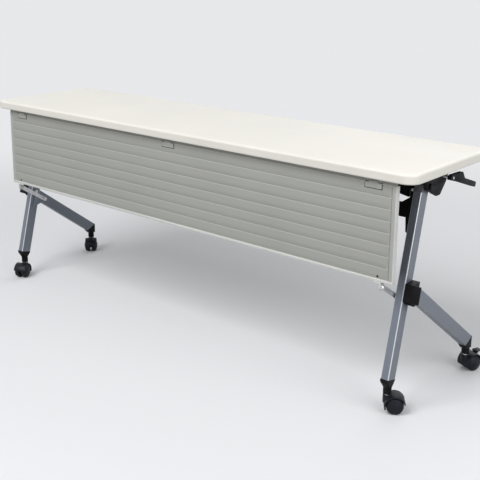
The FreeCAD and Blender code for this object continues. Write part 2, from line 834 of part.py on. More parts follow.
def make_modesty_panel():
    """The grooved sheet of the panel, with a flange along its top."""
    body = start_body("modesty_panel")
    front = "-panel_ahead"
    bottom = "(panel_bottom + rail_height)"
    pitch = "(panel_top - panel_bottom - rail_height) / panel_strip_count"
    outline = [(front, bottom)]
    for strip in range(1, SIZES["panel_strip_count"]):
        height = f"({bottom} + {strip} * {pitch})"
        outline.append((front, f"{height} - groove_width / 2"))
        outline.append((f"{front} + groove_depth", height))
        outline.append((front, f"{height} + groove_width / 2"))
    outline.append((front, "panel_top"))
    outline.append((f"{front} + panel_flange", "panel_top"))
    outline.append((f"{front} + panel_flange", "panel_top - panel_sheet"))
    outline.append((f"{front} + panel_sheet", "panel_top - panel_sheet"))
    outline.append((f"{front} + panel_sheet", bottom))
    pad(body, "YZ_Plane", outline, "2 * (panel_half_length - trim_width)")


def make_end_trim(name, side):
    """The upright strip at the panel's end, with two beads on its face."""
    across = f"{side} * (panel_half_length - trim_width)"
    body = start_body(name, across=across, y="-panel_ahead", z="panel_bottom + rail_height")
    gap = "(trim_width - 2 * trim_bead_width) / 3"
    places = [("0", "panel_flange"), ("0", "0")]
    for bead in range(2):
        start = f"({bead + 1} * {gap} + {bead} * trim_bead_width)"
        places.append((start, "0"))
        places.append((f"{start} + trim_bead_width / 4", "-trim_bead_height"))
        places.append((f"{start} + 3 * trim_bead_width / 4", "-trim_bead_height"))
        places.append((f"{start} + trim_bead_width", "0"))
    places.append(("trim_width", "0"))
    places.append(("trim_width", "panel_flange"))
    outline = [(f"{side} * ({x})", y) for x, y in places]
    height = "panel_top - panel_bottom - rail_height"
    pad(body, "XY_Plane", outline, height, centred=False)


def make_bottom_rail():
    """The pale rail along the panel's lower edge."""
    body = start_body("panel_bottom_rail")
    outline = box_outline(
        "-panel_ahead - rail_proud",
        "panel_bottom",
        "-panel_ahead + panel_flange",
        "panel_bottom + rail_height",
    )
    pad(body, "YZ_Plane", outline, "2 * panel_half_length")
    notch = box_outline(
        "-panel_ahead + panel_flange - rail_notch_depth",
        "panel_bottom - overrun",
        "-panel_ahead + panel_flange + overrun",
        "panel_bottom + rail_height + overrun",
    )
    for sign in ("-", ""):
        shift = f"{sign}(post_across - link_inset + rivet_height / 2)"
        pocket(body, "YZ_Plane", [notch], "link_thickness + rivet_height + 4 * side_gap", shift=shift)
    front = value("-panel_ahead - rail_proud")
    round_edges(
        body,
        "rail_round",
        lambda middle, along: abs(along.x) == 1 and abs(middle.y - front) < TINY,
    )


def make_link_bracket(name, side):
    """The pale bracket under the panel that holds the link's front end."""
    body = start_body(name, across=f"{side} * (post_across - ear_inset)")
    place = ("-link_end_ahead", "link_end_height")
    pad(body, "YZ_Plane", (place, "ear_radius"), "ear_thickness")
    neck = box_outline(
        "-link_end_ahead - ear_radius", "link_end_height", "-link_end_ahead + ear_radius", "panel_bottom"
    )
    pad(body, "YZ_Plane", neck, "ear_thickness")
    base = box_outline(
        "-link_end_ahead - ear_radius",
        "panel_bottom - ear_base_thickness",
        "-link_end_ahead + ear_radius / 2",
        "panel_bottom",
    )
    shift = f"{side} * (ear_thickness - ear_base_length) / 2"
    pad(body, "YZ_Plane", base, "ear_base_length", shift=shift)


def make_link_bar(name, side):
    """The flat link from the post to the panel, with its rivet head at the panel end."""
    across = f"{side} * (post_across - link_inset)"
    body = start_body(name, across=across, y="-link_anchor_ahead", z="link_anchor_height")
    half = "link_width / 2"
    pad(body, "YZ_Plane", box_outline("-link_length", f"-{half}", "0", half), "link_thickness")
    for end in ("-link_length", "0"):
        pad(body, "YZ_Plane", ((end, "0"), half), "link_thickness")
    shift = f"{side} * (link_thickness + rivet_height) / 2"
    pad(body, "YZ_Plane", (("-link_length", "0"), "rivet_radius"), "rivet_height", shift=shift)
    bore = (("0", "0"), "bolt_radius + running_gap")
    pocket(body, "YZ_Plane", [bore], "link_thickness + 2 * overrun")
    tilt(body, "atan(link_rise / link_run)")


def make_link_anchor(name, side):
    """The plate on the post's inner side that carries the link's pivot bolt."""
    across = f"{side} * (post_across - post_width / 2 - anchor_thickness / 2)"
    body = start_body(name, across=across)
    place = ("-link_anchor_ahead", "link_anchor_height")
    high = "(link_anchor_height + anchor_foot)"
    low = "(link_anchor_height - anchor_foot)"
    outline = [
        (f"{post_axis(high)} - post_reach + anchor_lap", high),
        (f"{post_axis(low)} - post_reach + anchor_lap", low),
        ("-link_anchor_ahead", "link_anchor_height - anchor_radius"),
        ("-link_anchor_ahead", "link_anchor_height + anchor_radius"),
    ]
    pad(body, "YZ_Plane", outline, "anchor_thickness")
    pad(body, "YZ_Plane", (place, "anchor_radius"), "anchor_thickness")
    pocket(body, "YZ_Plane", [(place, "bolt_radius + running_gap")], "anchor_thickness + overrun")


def neck_outline():
    """The half section of a plug's round neck, with a fine groove."""
    groove = "neck_groove_depth"
    return [
        ("0", "collar_top"),
        ("neck_radius", "collar_top"),
        ("neck_radius", f"neck_groove_height - {groove}"),
        (f"neck_radius - {groove}", "neck_groove_height"),
        ("neck_radius", f"neck_groove_height + {groove}"),
        ("neck_radius", "neck_top"),
    ]


def stem_bore(body):
    """Bores a plug for the caster's stem."""
    bore = (("0", "0"), "stem_radius + running_gap")
    pocket(body, "XY_Plane", [bore], "2 * (stem_top - collar_top + side_gap)", shift="collar_top")


def make_front_plug(name, side):
    """The black plug below the front post, round below and tube-shaped above."""
    body = start_body(name, across=f"{side} * post_across", y="-foot_ahead")
    outline = neck_outline()
    outline.append(("plug_flare_radius", "foot_height"))
    outline.append(("plug_flare_radius", "foot_height + foot_rise"))
    outline.append(("0", "foot_height + foot_rise"))
    revolve(body, "XZ_Plane", outline, "V_Axis")
    clear = "plug_clear"
    within = f"({clear} - overrun)"
    outside = box_outline(f"-{clear}", f"-{clear}", clear, clear)
    width = box_outline("-post_width / 2", f"-{within}", "post_width / 2", within)
    pocket(body, "XY_Plane", [outside, width], "2 * (foot_height + foot_rise + overrun)")
    lean = "(neck_top - foot_height) * post_slope"
    under_post = [
        (f"-{within}", "overrun"),
        (within, "overrun"),
        (within, "neck_top"),
        (f"{lean} + post_reach", "neck_top"),
        ("foot_run", "foot_height - foot_rise"),
        ("-foot_run", "foot_height + foot_rise"),
        (f"{lean} - post_reach", "neck_top"),
        (f"-{within}", "neck_top"),
    ]
    above = box_outline(f"-{clear}", "0", clear, f"foot_height + {clear}")
    pocket(body, "YZ_Plane", [above, under_post], "post_width + 2 * overrun")
    reach = "(bore_reach - tongue_gap)"
    inner_run = "((post_depth / 2 - tube_wall - tongue_gap) * cos(lean_angle))"
    inner_rise = "((post_depth / 2 - tube_wall - tongue_gap) * sin(lean_angle))"
    rise = "tongue_length * post_slope"
    tongue = [
        (f"-{inner_run}", f"foot_height + {inner_rise}"),
        (inner_run, f"foot_height - {inner_rise}"),
        (f"{reach} + {rise}", "foot_height + tongue_length"),
        (f"-{reach} + {rise}", "foot_height + tongue_length"),
    ]
    pad(body, "YZ_Plane", tongue, "post_width - 2 * (tube_wall + tongue_gap)")
    stem_bore(body)


def make_rear_plug(name, side):
    """The black elbow plug below the rear leg."""
    across = f"{side} * (post_across + leg_outset)"
    body = start_body(name, across=across, y="rear_foot_behind")
    outline = neck_outline()
    outline.append(("0", "neck_top"))
    revolve(body, "XZ_Plane", outline, "V_Axis")
    low = ("low_y - rear_foot_behind", "low_z")
    high = ("high_y - rear_foot_behind", "high_z")
    elbow = [("-neck_radius", "neck_top"), ("neck_radius", "neck_top"), high, low]
    pad(body, "YZ_Plane", elbow, "post_width")
    inset = "((tube_wall + tongue_gap) / sin(leg_fall_angle + leg_cut_angle))"
    step_y = f"{inset} * cos(leg_cut_angle)"
    step_z = f"{inset} * sin(leg_cut_angle)"
    run = "tongue_length * cos(leg_fall_angle)"
    rise = "tongue_length * sin(leg_fall_angle)"
    tongue = [
        (f"{low[0]} + {step_y}", f"{low[1]} + {step_z}"),
        (f"{high[0]} - {step_y}", f"{high[1]} - {step_z}"),
        (f"{high[0]} - {step_y} - {run}", f"{high[1]} - {step_z} + {rise}"),
        (f"{low[0]} + {step_y} - {run}", f"{low[1]} + {step_z} + {rise}"),
    ]
    pad(body, "YZ_Plane", tongue, "post_width - 2 * (tube_wall + tongue_gap)")
    stem_bore(body)


def caster_places():
    """Each caster's corner, stem place and turn, and whether it has a brake."""
    rear_across = "(post_across + leg_outset)"
    return (
        ("front_left", "-post_across", "-foot_ahead", "front_left_turn_angle", False),
        ("front_right", "post_across", "-foot_ahead", "front_right_turn_angle", False),
        ("rear_left", "-" + rear_across, "rear_foot_behind", "rear_left_turn_angle", True),
        ("rear_right", rear_across, "rear_foot_behind", "rear_right_turn_angle", True),
    )


def place_on_caster(piece, x, y, turn, forward="0", sideways="0", height="0", flip=0):
    """Puts a caster piece at an offset from the stem, turned with the caster."""
    place_x = f"{x} + ({sideways}) * cos({turn}) - ({forward}) * sin({turn})"
    place_y = f"{y} + ({sideways}) * sin({turn}) + ({forward}) * cos({turn}) - footprint_middle"
    piece.setExpression("Placement.Base.x", formula(place_x))
    piece.setExpression("Placement.Base.y", formula(place_y))
    piece.setExpression("Placement.Base.z", formula(height))
    piece.Placement.Rotation = FreeCAD.Rotation(FreeCAD.Vector(0, 0, 1), value(turn) + flip)


def make_hood(name, x, y, turn, braked):
    """The caster's hood: fender over both wheels, web between them and swivel boss."""
    body = start_body(name)
    centre = ("trail", "wheel_radius")
    pad(body, "YZ_Plane", (centre, "fender_outer"), "fender_width")
    boss_height = "collar_top - collar_height - swivel_gap - boss_bottom"
    pad(body, "XY_Plane", (("0", "0"), "boss_radius"), boss_height, shift="boss_bottom", centred=False)
    if braked:
        lug = (("pedal_y", "pedal_z"), "pedal_barrel_radius")
        pad(body, "YZ_Plane", lug, "2 * pedal_lug_half")
        neck = box_outline(
            "pedal_y - pedal_barrel_radius",
            "pedal_z - 2 * pedal_barrel_radius",
            "pedal_y + pedal_barrel_radius",
            "pedal_z",
        )
        pad(body, "YZ_Plane", neck, "2 * pedal_lug_half")
    well = (centre, "fender_inner")
    for sign in ("", "-"):
        shift = f"{sign}(web_thickness / 2 + fender_width / 2)"
        pocket(body, "YZ_Plane", [well], "fender_width", shift=shift)
    below = [
        ("-3 * boss_radius", "fender_low"),
        ("trail + web_boss_reach", "fender_low"),
        ("trail + fender_back_reach", "fender_back_height"),
        ("trail + fender_back_reach", "-plug_clear"),
        ("-3 * boss_radius", "-plug_clear"),
    ]
    pocket(body, "YZ_Plane", [below], "fender_width + 2 * overrun")
    pocket(body, "YZ_Plane", [(centre, "axle_radius + running_gap")], "web_thickness + 2 * overrun")
    stem = (("0", "0"), "stem_radius + running_gap")
    depth = "2 * (collar_top - stem_bottom - collar_height + side_gap)"
    pocket(body, "XY_Plane", [stem], depth, shift="collar_top - collar_height")
    if braked:
        pin = (("pedal_y", "pedal_z"), "pedal_pin_radius + running_gap")
        pocket(body, "YZ_Plane", [pin], "2 * (pedal_lug_half + overrun)")
    place_on_caster(body, x, y, turn)


def make_wheel(name, x, y, turn, sign):
    """One of a caster's two wheels, turned about its axle, with a closed outer face."""
    body = start_body(name)
    bore = "(axle_radius + running_gap)"
    outline = [
        ("0", bore),
        ("0", "wheel_radius - wheel_edge_round / 2"),
        ("wheel_edge_round / 2", "wheel_radius"),
        ("wheel_width - 2 * wheel_edge_round", "wheel_radius"),
        ("wheel_width - wheel_edge_round / 2", "wheel_radius - wheel_edge_round / 2"),
        ("wheel_width", "wheel_radius - 2 * wheel_edge_round"),
        ("wheel_width + 3 / 4 * wheel_dome", "wheel_radius / 3"),
        ("wheel_width + wheel_dome", "0"),
        ("wheel_bore_depth + side_gap", "0"),
        ("wheel_bore_depth + side_gap", bore),
    ]
    revolve(body, "XY_Plane", outline, "H_Axis")
    flip = 0 if sign > 0 else value("2 * right_angle")
    offset = f"({sign}) * wheel_offset"
    place_on_caster(body, x, y, turn, forward="trail", sideways=offset, height="wheel_radius", flip=flip)


def make_axle(name, x, y, turn):
    """The steel axle through the hood's web."""
    body = start_body(name)
    length = "2 * (wheel_offset + wheel_bore_depth)"
    pad(body, "YZ_Plane", (("0", "0"), "axle_radius"), length)
    place_on_caster(body, x, y, turn, forward="trail", height="wheel_radius")


def make_pedal(name, x, y, turn):
    """The brake pedal on the hood, with its own pin."""
    body = start_body(name)
    pad(body, "YZ_Plane", (("0", "0"), "pedal_pin_radius"), "2 * pedal_half_width")
    knuckle = "(pedal_half_width - pedal_lug_half - side_gap)"
    for sign in ("", "-"):
        shift = f"{sign}(pedal_half_width - {knuckle} / 2)"
        pad(body, "YZ_Plane", (("0", "0"), "pedal_barrel_radius"), knuckle, shift=shift)
        arm = box_outline("0", "0", "2 * pedal_barrel_radius", "pedal_barrel_radius")
        pad(body, "YZ_Plane", arm, knuckle, shift=shift)
    tread = box_outline(
        "pedal_barrel_radius + side_gap",
        "pedal_barrel_radius - pedal_thickness",
        "pedal_length",
        "pedal_barrel_radius",
    )
    pad(body, "YZ_Plane", tread, "2 * pedal_half_width")
    place_on_caster(body, x, y, turn, forward="pedal_y", height="pedal_z")


def make_group(name, solids):
    """A named node of like small pieces, each a solid of its own."""
    feature = doc.addObject("Part::Feature", name)
    feature.Label = name
    feature.Shape = Part.makeCompound(solids)
    shift = FreeCAD.Vector(0, -value("footprint_middle"), 0)
    feature.Placement = FreeCAD.Placement(shift, FreeCAD.Rotation())
    pieces.append(feature)


def rod(radius, low, high, direction):
    """A plain cylinder from one point to another along an axis."""
    return Part.makeCylinder(radius, (high - low).Length, low, direction)


def bolt(x, y, z, side, grip):
    """A socket-head bolt along X, with its head on the inner side of the place."""
    outward = FreeCAD.Vector(side, 0, 0)
    seat = FreeCAD.Vector(x, y, z)
    head_height = value("bolt_head_height")
    head_end = seat - outward * head_height
    shank = rod(value("bolt_radius"), seat, seat + outward * grip, outward)
    head = rod(value("bolt_head_radius"), head_end, seat, outward)
    socket_end = head_end + outward * value("bolt_socket_depth")
    socket = rod(value("bolt_socket_radius"), head_end, socket_end, outward)
    return head.fuse(shank).cut(socket).removeSplitter()


def make_joint_bolts():
    """The four bolts that clamp the joint blocks to the posts."""
    solids = []
    for side in SIDES.values():
        x = side * value("post_across - post_width / 2")
        for sign in ("-", "+"):
            height = f"block_middle {sign} joint_bolt_spread"
            grip = value("post_width + joint_bolt_grip - side_gap")
            solids.append(bolt(x, value(post_axis(height)), value(height), side, grip))
    make_group("joint_bolts", solids)


def make_link_bolts():
    """The bolts on which the links turn, with their nuts."""
    solids = []
    for side in SIDES.values():
        outward = FreeCAD.Vector(side, 0, 0)
        x = side * value("post_across - link_inset - link_thickness / 2 - cheek_gap")
        y = -value("link_anchor_ahead")
        z = value("link_anchor_height")
        grip = value("cheek_gap + link_thickness + side_gap + anchor_thickness")
        shank_end = FreeCAD.Vector(x, y, z) + outward * grip
        nut_end = shank_end + outward * value("bolt_head_height")
        nut = rod(value("bolt_head_radius"), shank_end, nut_end, outward)
        solids.append(bolt(x, y, z, side, grip).fuse(nut).removeSplitter())
    make_group("link_bolts", solids)


def make_pivot_bolts():
    """The bolts on which the top turns, through both cheeks and the post head."""
    solids = []
    for side in SIDES.values():
        outward = FreeCAD.Vector(side, 0, 0)
        inner = value("-inner_cheek_near - cheek_thickness - cheek_gap")
        outer = value("outer_cheek_near + cheek_thickness + cheek_gap")
        centre = FreeCAD.Vector(side * value("post_across"), -value("pivot_ahead"), value("pivot_height"))
        low = centre + outward * inner
        high = centre + outward * outer
        step = outward * value("pivot_head_height")
        shank = rod(value("pivot_radius"), low, high, outward)
        head = rod(value("pivot_head_radius"), high, high + step, outward)
        nut = rod(value("pivot_head_radius"), low - step, low, outward)
        solids.append(shank.fuse([head, nut]).removeSplitter())
    make_group("pivot_bolts", solids)


def make_pivot_bushes():
    """The white nylon bushes between beam ends and inner cheeks, and a plug in each end's face."""
    solids = []
    ahead = FreeCAD.Vector(0, -value("cos(lean_angle)"), value("sin(lean_angle)"))
    along = FreeCAD.Vector(0, value("sin(lean_angle)"), value("cos(lean_angle)"))
    for side in SIDES.values():
        inward = FreeCAD.Vector(-side, 0, 0)
        x = side * value("post_across - post_width / 2 - beam_end_plate")
        seat = FreeCAD.Vector(x, -value("pivot_ahead"), value("pivot_height"))
        end = seat + inward * value("bush_thickness")
        ring = rod(value("bush_radius"), seat, end, inward)
        solids.append(ring.cut(rod(value("pivot_radius + running_gap"), seat, end, inward)))
        x = side * value("post_across - post_width / 2 - beam_plug_inset")
        pivot = FreeCAD.Vector(x, -value("pivot_ahead"), value("pivot_height"))
        mouth = pivot + ahead * value("beam_depth / 2") - along * value("beam_plug_drop")
        solids.append(short_screw(mouth, ahead))
    make_group("pivot_bushes", solids)


def make_screws():
    """The wood screws of brackets and hinges, and the short screw in each bracket's arm."""
    up = FreeCAD.Vector(0, 0, 1)
    solids = []
    for x, y, z in screw_places():
        seat = FreeCAD.Vector(x, y, z)
        shank = rod(value("screw_radius"), seat, seat + up * value("screw_length"), up)
        head = rod(value("screw_head_radius"), seat - up * value("screw_head_height"), seat, up)
        solids.append(head.fuse(shank).removeSplitter())
    for side in SIDES.values():
        x = side * value("post_across - arm_screw_reach")
        y = -value("pivot_ahead + arm_depth / 2")
        mouth = FreeCAD.Vector(x, y, value("under_top - arm_screw_drop"))
        solids.append(short_screw(mouth, FreeCAD.Vector(0, -1, 0)))
    make_group("underside_screws", solids)


def block(low_x, low_y, low_z, high_x, high_y, high_z):
    """A plain box between two corners."""
    corner = FreeCAD.Vector(low_x, low_y, low_z)
    return Part.makeBox(high_x - low_x, high_y - low_y, high_z - low_z, corner)


def make_hinges():
    """The three panel hinges: leaves on the top, leaves on the panel and pins."""
    along = FreeCAD.Vector(1, 0, 0)
    y = -value("hinge_ahead")
    z = value("hinge_height")
    half = value("hinge_half_width")
    inner = value("barrel_half_width")
    radius = value("barrel_radius")
    roof = value("under_top")
    plate = value("hinge_plate")
    front = -value("panel_ahead")
    clip = value("clip_thickness")
    top = value("panel_top")
    gap = value("side_gap")
    fixed = []
    moving = []
    pins = []
    for x in hinge_places():
        left = FreeCAD.Vector(x - half, y, z)
        right = FreeCAD.Vector(x + half, y, z)
        bore = rod(value("hinge_pin_radius + running_gap"), left, right, along)
        leaf = block(x - half, y - radius, roof - plate, x + half, y + value("hinge_plate_depth"), roof)
        for low, high in ((x - half, x - inner - gap), (x + inner + gap, x + half)):
            barrel = rod(radius, FreeCAD.Vector(low, y, z), FreeCAD.Vector(high, y, z), along)
            ear = block(low, y - radius, z, high, y + radius, roof - plate)
            leaf = leaf.fuse([barrel, ear])
        screw_y = value("hinge_plate_depth - screw_inset - hinge_ahead")
        for step in (-inner, inner):
            low = FreeCAD.Vector(x + step, screw_y, roof - plate)
            high = FreeCAD.Vector(x + step, screw_y, roof)
            hole = rod(value("screw_radius + running_gap"), low, high, FreeCAD.Vector(0, 0, 1))
            leaf = leaf.cut(hole)
        fixed.append(leaf.cut(bore).removeSplitter())
        knuckle = rod(
            radius, FreeCAD.Vector(x - inner, y, z), FreeCAD.Vector(x + inner, y, z), along
        )
        face = block(x - half, front - clip, top - value("clip_height"), x + half, front, top)
        bend = block(x - inner, front - clip, top - clip, x + inner, front, z)
        foot = block(x - inner, front, top, x + inner, y + radius, z)
        moving.append(face.fuse([bend, foot, knuckle]).cut(bore).removeSplitter())
        pins.append(rod(value("hinge_pin_radius"), left, right, along))
    make_group("hinge_leaves_top", fixed)
    make_group("hinge_leaves_panel", moving)
    make_group("hinge_pins", pins)


def make_stems():
    """The four chrome stems, each with its collar."""
    up = FreeCAD.Vector(0, 0, 1)
    solids = []
    for place in caster_places():
        centre = FreeCAD.Vector(value(place[1]), value(place[2]), 0)
        low = centre + up * value("stem_bottom")
        high = centre + up * value("stem_top")
        collar_high = centre + up * value("collar_top")
        collar_low = collar_high - up * value("collar_height")
        stem = rod(value("stem_radius"), low, high, up)
        collar = rod(value("collar_radius"), collar_low, collar_high, up)
        solids.append(stem.fuse(collar).removeSplitter())
    make_group("caster_stems", solids)


make_top_board()
make_edge_band()
make_cross_beam()
make_modesty_panel()
make_bottom_rail()
for side_name, side_sign in SIDES.items():
    make_front_post("front_post_" + side_name, side_sign)
    make_rear_leg("rear_leg_" + side_name, side_sign)
    make_joint_block("joint_block_" + side_name, side_sign)
    make_post_head("post_head_" + side_name, side_sign)
    make_beam_end("beam_end_" + side_name, side_sign)
    make_top_bracket("top_bracket_" + side_name, side_sign)
    make_lever("release_lever_" + side_name, side_sign)
    make_lock_hook("lock_hook_" + side_name, side_sign)
    make_end_trim("panel_end_trim_" + side_name, side_sign)
    make_link_bracket("link_bracket_" + side_name, side_sign)
    make_link_bar("link_bar_" + side_name, side_sign)
    make_link_anchor("link_anchor_" + side_name, side_sign)
    make_front_plug("front_plug_" + side_name, side_sign)
    make_rear_plug("rear_plug_" + side_name, side_sign)
for corner, stem_x, stem_y, caster_turn, has_brake in caster_places():
    make_hood("caster_hood_" + corner, stem_x, stem_y, caster_turn, has_brake)
    make_axle("caster_axle_" + corner, stem_x, stem_y, caster_turn)
    make_wheel("caster_wheel_a_" + corner, stem_x, stem_y, caster_turn, 1)
    make_wheel("caster_wheel_b_" + corner, stem_x, stem_y, caster_turn, -1)
    if has_brake:
        make_pedal("brake_pedal_" + corner, stem_x, stem_y, caster_turn)
make_joint_bolts()
make_link_bolts()
make_pivot_bolts()
make_pivot_bushes()
make_screws()
make_hinges()
make_stems()

doc.recompute()
for item in doc.Objects:
    if "Invalid" in item.State or "Error" in item.State:
        raise ValueError(item.Name + " did not compute")
for piece in pieces:
    if piece.Shape.isNull() or not piece.Shape.isValid():
        raise ValueError(piece.Label + " has no sound shape")

os.makedirs("parts", exist_ok=True)
for piece in pieces:
    piece.Shape.exportStep("parts/" + piece.Label + ".step")
print(len(pieces), "pieces,", sum(len(piece.Shape.Solids) for piece in pieces), "solids")
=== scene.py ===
import json
import math

import bmesh
import bpy
from mathutils import Matrix, Vector


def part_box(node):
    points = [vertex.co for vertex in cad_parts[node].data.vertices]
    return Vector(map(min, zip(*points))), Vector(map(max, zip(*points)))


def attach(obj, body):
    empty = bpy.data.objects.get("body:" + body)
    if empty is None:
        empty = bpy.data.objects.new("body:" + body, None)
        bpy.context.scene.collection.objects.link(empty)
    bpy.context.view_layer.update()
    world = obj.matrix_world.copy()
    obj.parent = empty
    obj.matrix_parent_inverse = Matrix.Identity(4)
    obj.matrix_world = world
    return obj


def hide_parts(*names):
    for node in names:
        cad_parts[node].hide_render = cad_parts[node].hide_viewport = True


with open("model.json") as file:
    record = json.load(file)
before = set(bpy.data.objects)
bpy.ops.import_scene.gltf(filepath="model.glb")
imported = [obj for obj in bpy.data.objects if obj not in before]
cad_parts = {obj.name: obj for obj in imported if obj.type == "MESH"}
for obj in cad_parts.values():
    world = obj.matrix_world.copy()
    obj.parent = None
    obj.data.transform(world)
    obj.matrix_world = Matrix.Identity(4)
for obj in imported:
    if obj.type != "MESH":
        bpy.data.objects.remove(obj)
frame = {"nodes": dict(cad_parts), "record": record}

bl_info = {
    "name": "Stacking table",
    "version": (1, 0, 0),
    "blender": (4, 5, 0),
    "location": "3D View > Sidebar > Table",
    "description": "Finishes the flip-top stacking table around its packed frame",
    "category": "Object",
}

MM = 0.001
PANEL_SHEET = 3 * MM
CLIP_HALF_WIDTH = 26 * MM
MERGE_REACH = 0.005 * MM
FLAT_ANGLE = math.radians(0.5)
BEVEL_ANGLE = math.radians(32)
SMOOTH_ANGLE = math.radians(35)
BLACK = (0.005, 0.005, 0.006)
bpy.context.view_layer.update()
BODY_OF = {node: body for body, nodes in frame["record"]["behaviour"]["bodies"].items() for node in nodes}
SLOT_OF = {part["node"]: part["material_slot"] for part in frame["record"]["subparts"]}


# Settings


class SurfaceSettings(bpy.types.PropertyGroup):
    """The colours of the table's finishes."""

    laminate: bpy.props.FloatVectorProperty(
        name="Laminate", description="Ivory of the table top", subtype="COLOR", default=(0.85, 0.82, 0.76)
    )
    edge: bpy.props.FloatVectorProperty(
        name="Edge", description="Ivory of the moulded edge", subtype="COLOR", default=(0.87, 0.845, 0.775)
    )
    panel: bpy.props.FloatVectorProperty(
        name="Panel",
        description="Grey-green of the modesty panel",
        subtype="COLOR",
        default=(0.43, 0.435, 0.402),
    )
    trim: bpy.props.FloatVectorProperty(
        name="Trim", description="Light grey of the end trims", subtype="COLOR", default=(0.47, 0.475, 0.45)
    )
    rail: bpy.props.FloatVectorProperty(
        name="Rail", description="Off-white of the bottom rail", subtype="COLOR", default=(0.71, 0.71, 0.69)
    )
    silver: bpy.props.FloatVectorProperty(
        name="Silver",
        description="Silver paint of posts and legs",
        subtype="COLOR",
        default=(0.19, 0.21, 0.25),
    )
    # Painted highlight: the colour of the bright line on the tubes' rounded corners.
    highlit: bpy.props.FloatVectorProperty(
        name="Corner highlight",
        description="Bright line along a tube's rubbed corners",
        subtype="COLOR",
        default=(0.74, 0.76, 0.80),
    )
    caster: bpy.props.FloatVectorProperty(
        name="Caster",
        description="Blue-black nylon of the casters",
        subtype="COLOR",
        default=(0.006, 0.007, 0.011),
    )


class PanelSettings(bpy.types.PropertyGroup):
    """The stepped strips of the modesty panel."""

    strips: bpy.props.IntProperty(name="Strips", description="Strips from bottom to top", default=8, min=1)
    step: bpy.props.FloatProperty(
        name="Step",
        description="How far the foot of each strip is set back from its face",
        default=1.1 * MM,
        unit="LENGTH",
    )
    lip: bpy.props.FloatProperty(
        name="Lip", description="Height of the sloping lip between strips", default=2.4 * MM, unit="LENGTH"
    )
    crest: bpy.props.FloatProperty(
        name="Crest",
        description="Height of the lip above the panel, between the hinges",
        default=9.5 * MM,
        unit="LENGTH",
    )
    hinge_room: bpy.props.FloatProperty(
        name="Hinge room",
        description="Free length beside each hinge's middle",
        default=28 * MM,
        unit="LENGTH",
    )
    # Painted shade: how far the dark plate shows round each hinge's clip.
    clip_shade_rim: bpy.props.FloatProperty(
        name="Clip shade rim",
        description="How far the dark gasket shows round each hinge's clip",
        default=1.8 * MM,
        unit="LENGTH",
    )


class StageSettings(bpy.types.PropertyGroup):
    """The camera, the lamps and the floor."""

    place: bpy.props.FloatVectorProperty(
        name="Camera",
        description="Where the camera stands",
        subtype="TRANSLATION",
        default=(1.957, -2.179, 1.242),
    )
    heading: bpy.props.FloatProperty(
        name="Heading", description="Turn from +Y towards +X", subtype="ANGLE", default=-0.6994
    )
    dip: bpy.props.FloatProperty(
        name="Dip", description="Tilt below level", subtype="ANGLE", default=0.2365
    )
    roll: bpy.props.FloatProperty(
        name="Roll", description="Turn about the view", subtype="ANGLE", default=0.0074
    )
    lens: bpy.props.FloatProperty(name="Lens", description="Focal length in millimetres", default=66.08)
    shift: bpy.props.FloatProperty(
        name="Shift", description="Rise of the frame, so that the posts stay upright in it", default=-0.15
    )
    key: bpy.props.FloatProperty(
        name="Key", description="Power of the key lamp", default=180.0, unit="POWER"
    )
    side: bpy.props.FloatProperty(
        name="Side", description="Power of the side lamp", default=43.0, unit="POWER"
    )
    rear: bpy.props.FloatProperty(
        name="Rear", description="Power of the rear lamp", default=30.0, unit="POWER"
    )
    sky: bpy.props.FloatProperty(name="Sky", description="Strength of the even light", default=0.42)
    pale: bpy.props.FloatVectorProperty(
        name="Pale",
        description="Colour of floor and backdrop as seen",
        subtype="COLOR",
        default=(0.80, 0.81, 0.83),
    )
    bounce: bpy.props.FloatProperty(
        name="Bounce", description="Share of light that the floor sends back", default=0.3
    )
    floor_reach: bpy.props.FloatProperty(
        name="Floor reach", description="From the table to the floor's edge", default=30.0, unit="LENGTH"
    )
    fade_start: bpy.props.FloatProperty(
        name="Fade start", description="Where the floor starts to fade", default=1.3, unit="LENGTH"
    )
    fade_end: bpy.props.FloatProperty(
        name="Fade end",
        description="Where the floor is as even as the backdrop",
        default=3.2,
        unit="LENGTH",
    )


# Node trees


def add_node(tree, kind, **values):
    """Adds a node and sets its attributes, or its inputs where no attribute has that name."""
    node = tree.nodes.new(kind)
    for name, value in values.items():
        if hasattr(node, name):
            setattr(node, name, value)
        else:
            node.inputs[name.replace("_", " ").title()].default_value = value
    return node


def effect_group(name, inputs, outputs):
    """Starts a shader group with named sockets and returns it with its ends."""
    tree = bpy.data.node_groups.new(name, "ShaderNodeTree")
    for label, kind, value in inputs:
        socket = tree.interface.new_socket(name=label, in_out="INPUT", socket_type=kind)
        socket.default_value = value
    for label, kind in outputs:
        tree.interface.new_socket(name=label, in_out="OUTPUT", socket_type=kind)
    start = tree.nodes.new("NodeGroupInput")
    end = tree.nodes.new("NodeGroupOutput")
    return tree, start, end


def object_noise(tree, scale_socket, detail, stretch=(1, 1, 1)):
    """A noise texture on Object coordinates."""
    place = tree.nodes.new("ShaderNodeTexCoord")
    mapping = tree.nodes.new("ShaderNodeMapping")
    mapping.inputs["Scale"].default_value = stretch
    noise = tree.nodes.new("ShaderNodeTexNoise")
    noise.inputs["Detail"].default_value = detail
    tree.links.new(place.outputs["Object"], mapping.inputs["Vector"])
    tree.links.new(mapping.outputs["Vector"], noise.inputs["Vector"])
    tree.links.new(scale_socket, noise.inputs["Scale"])
    return noise


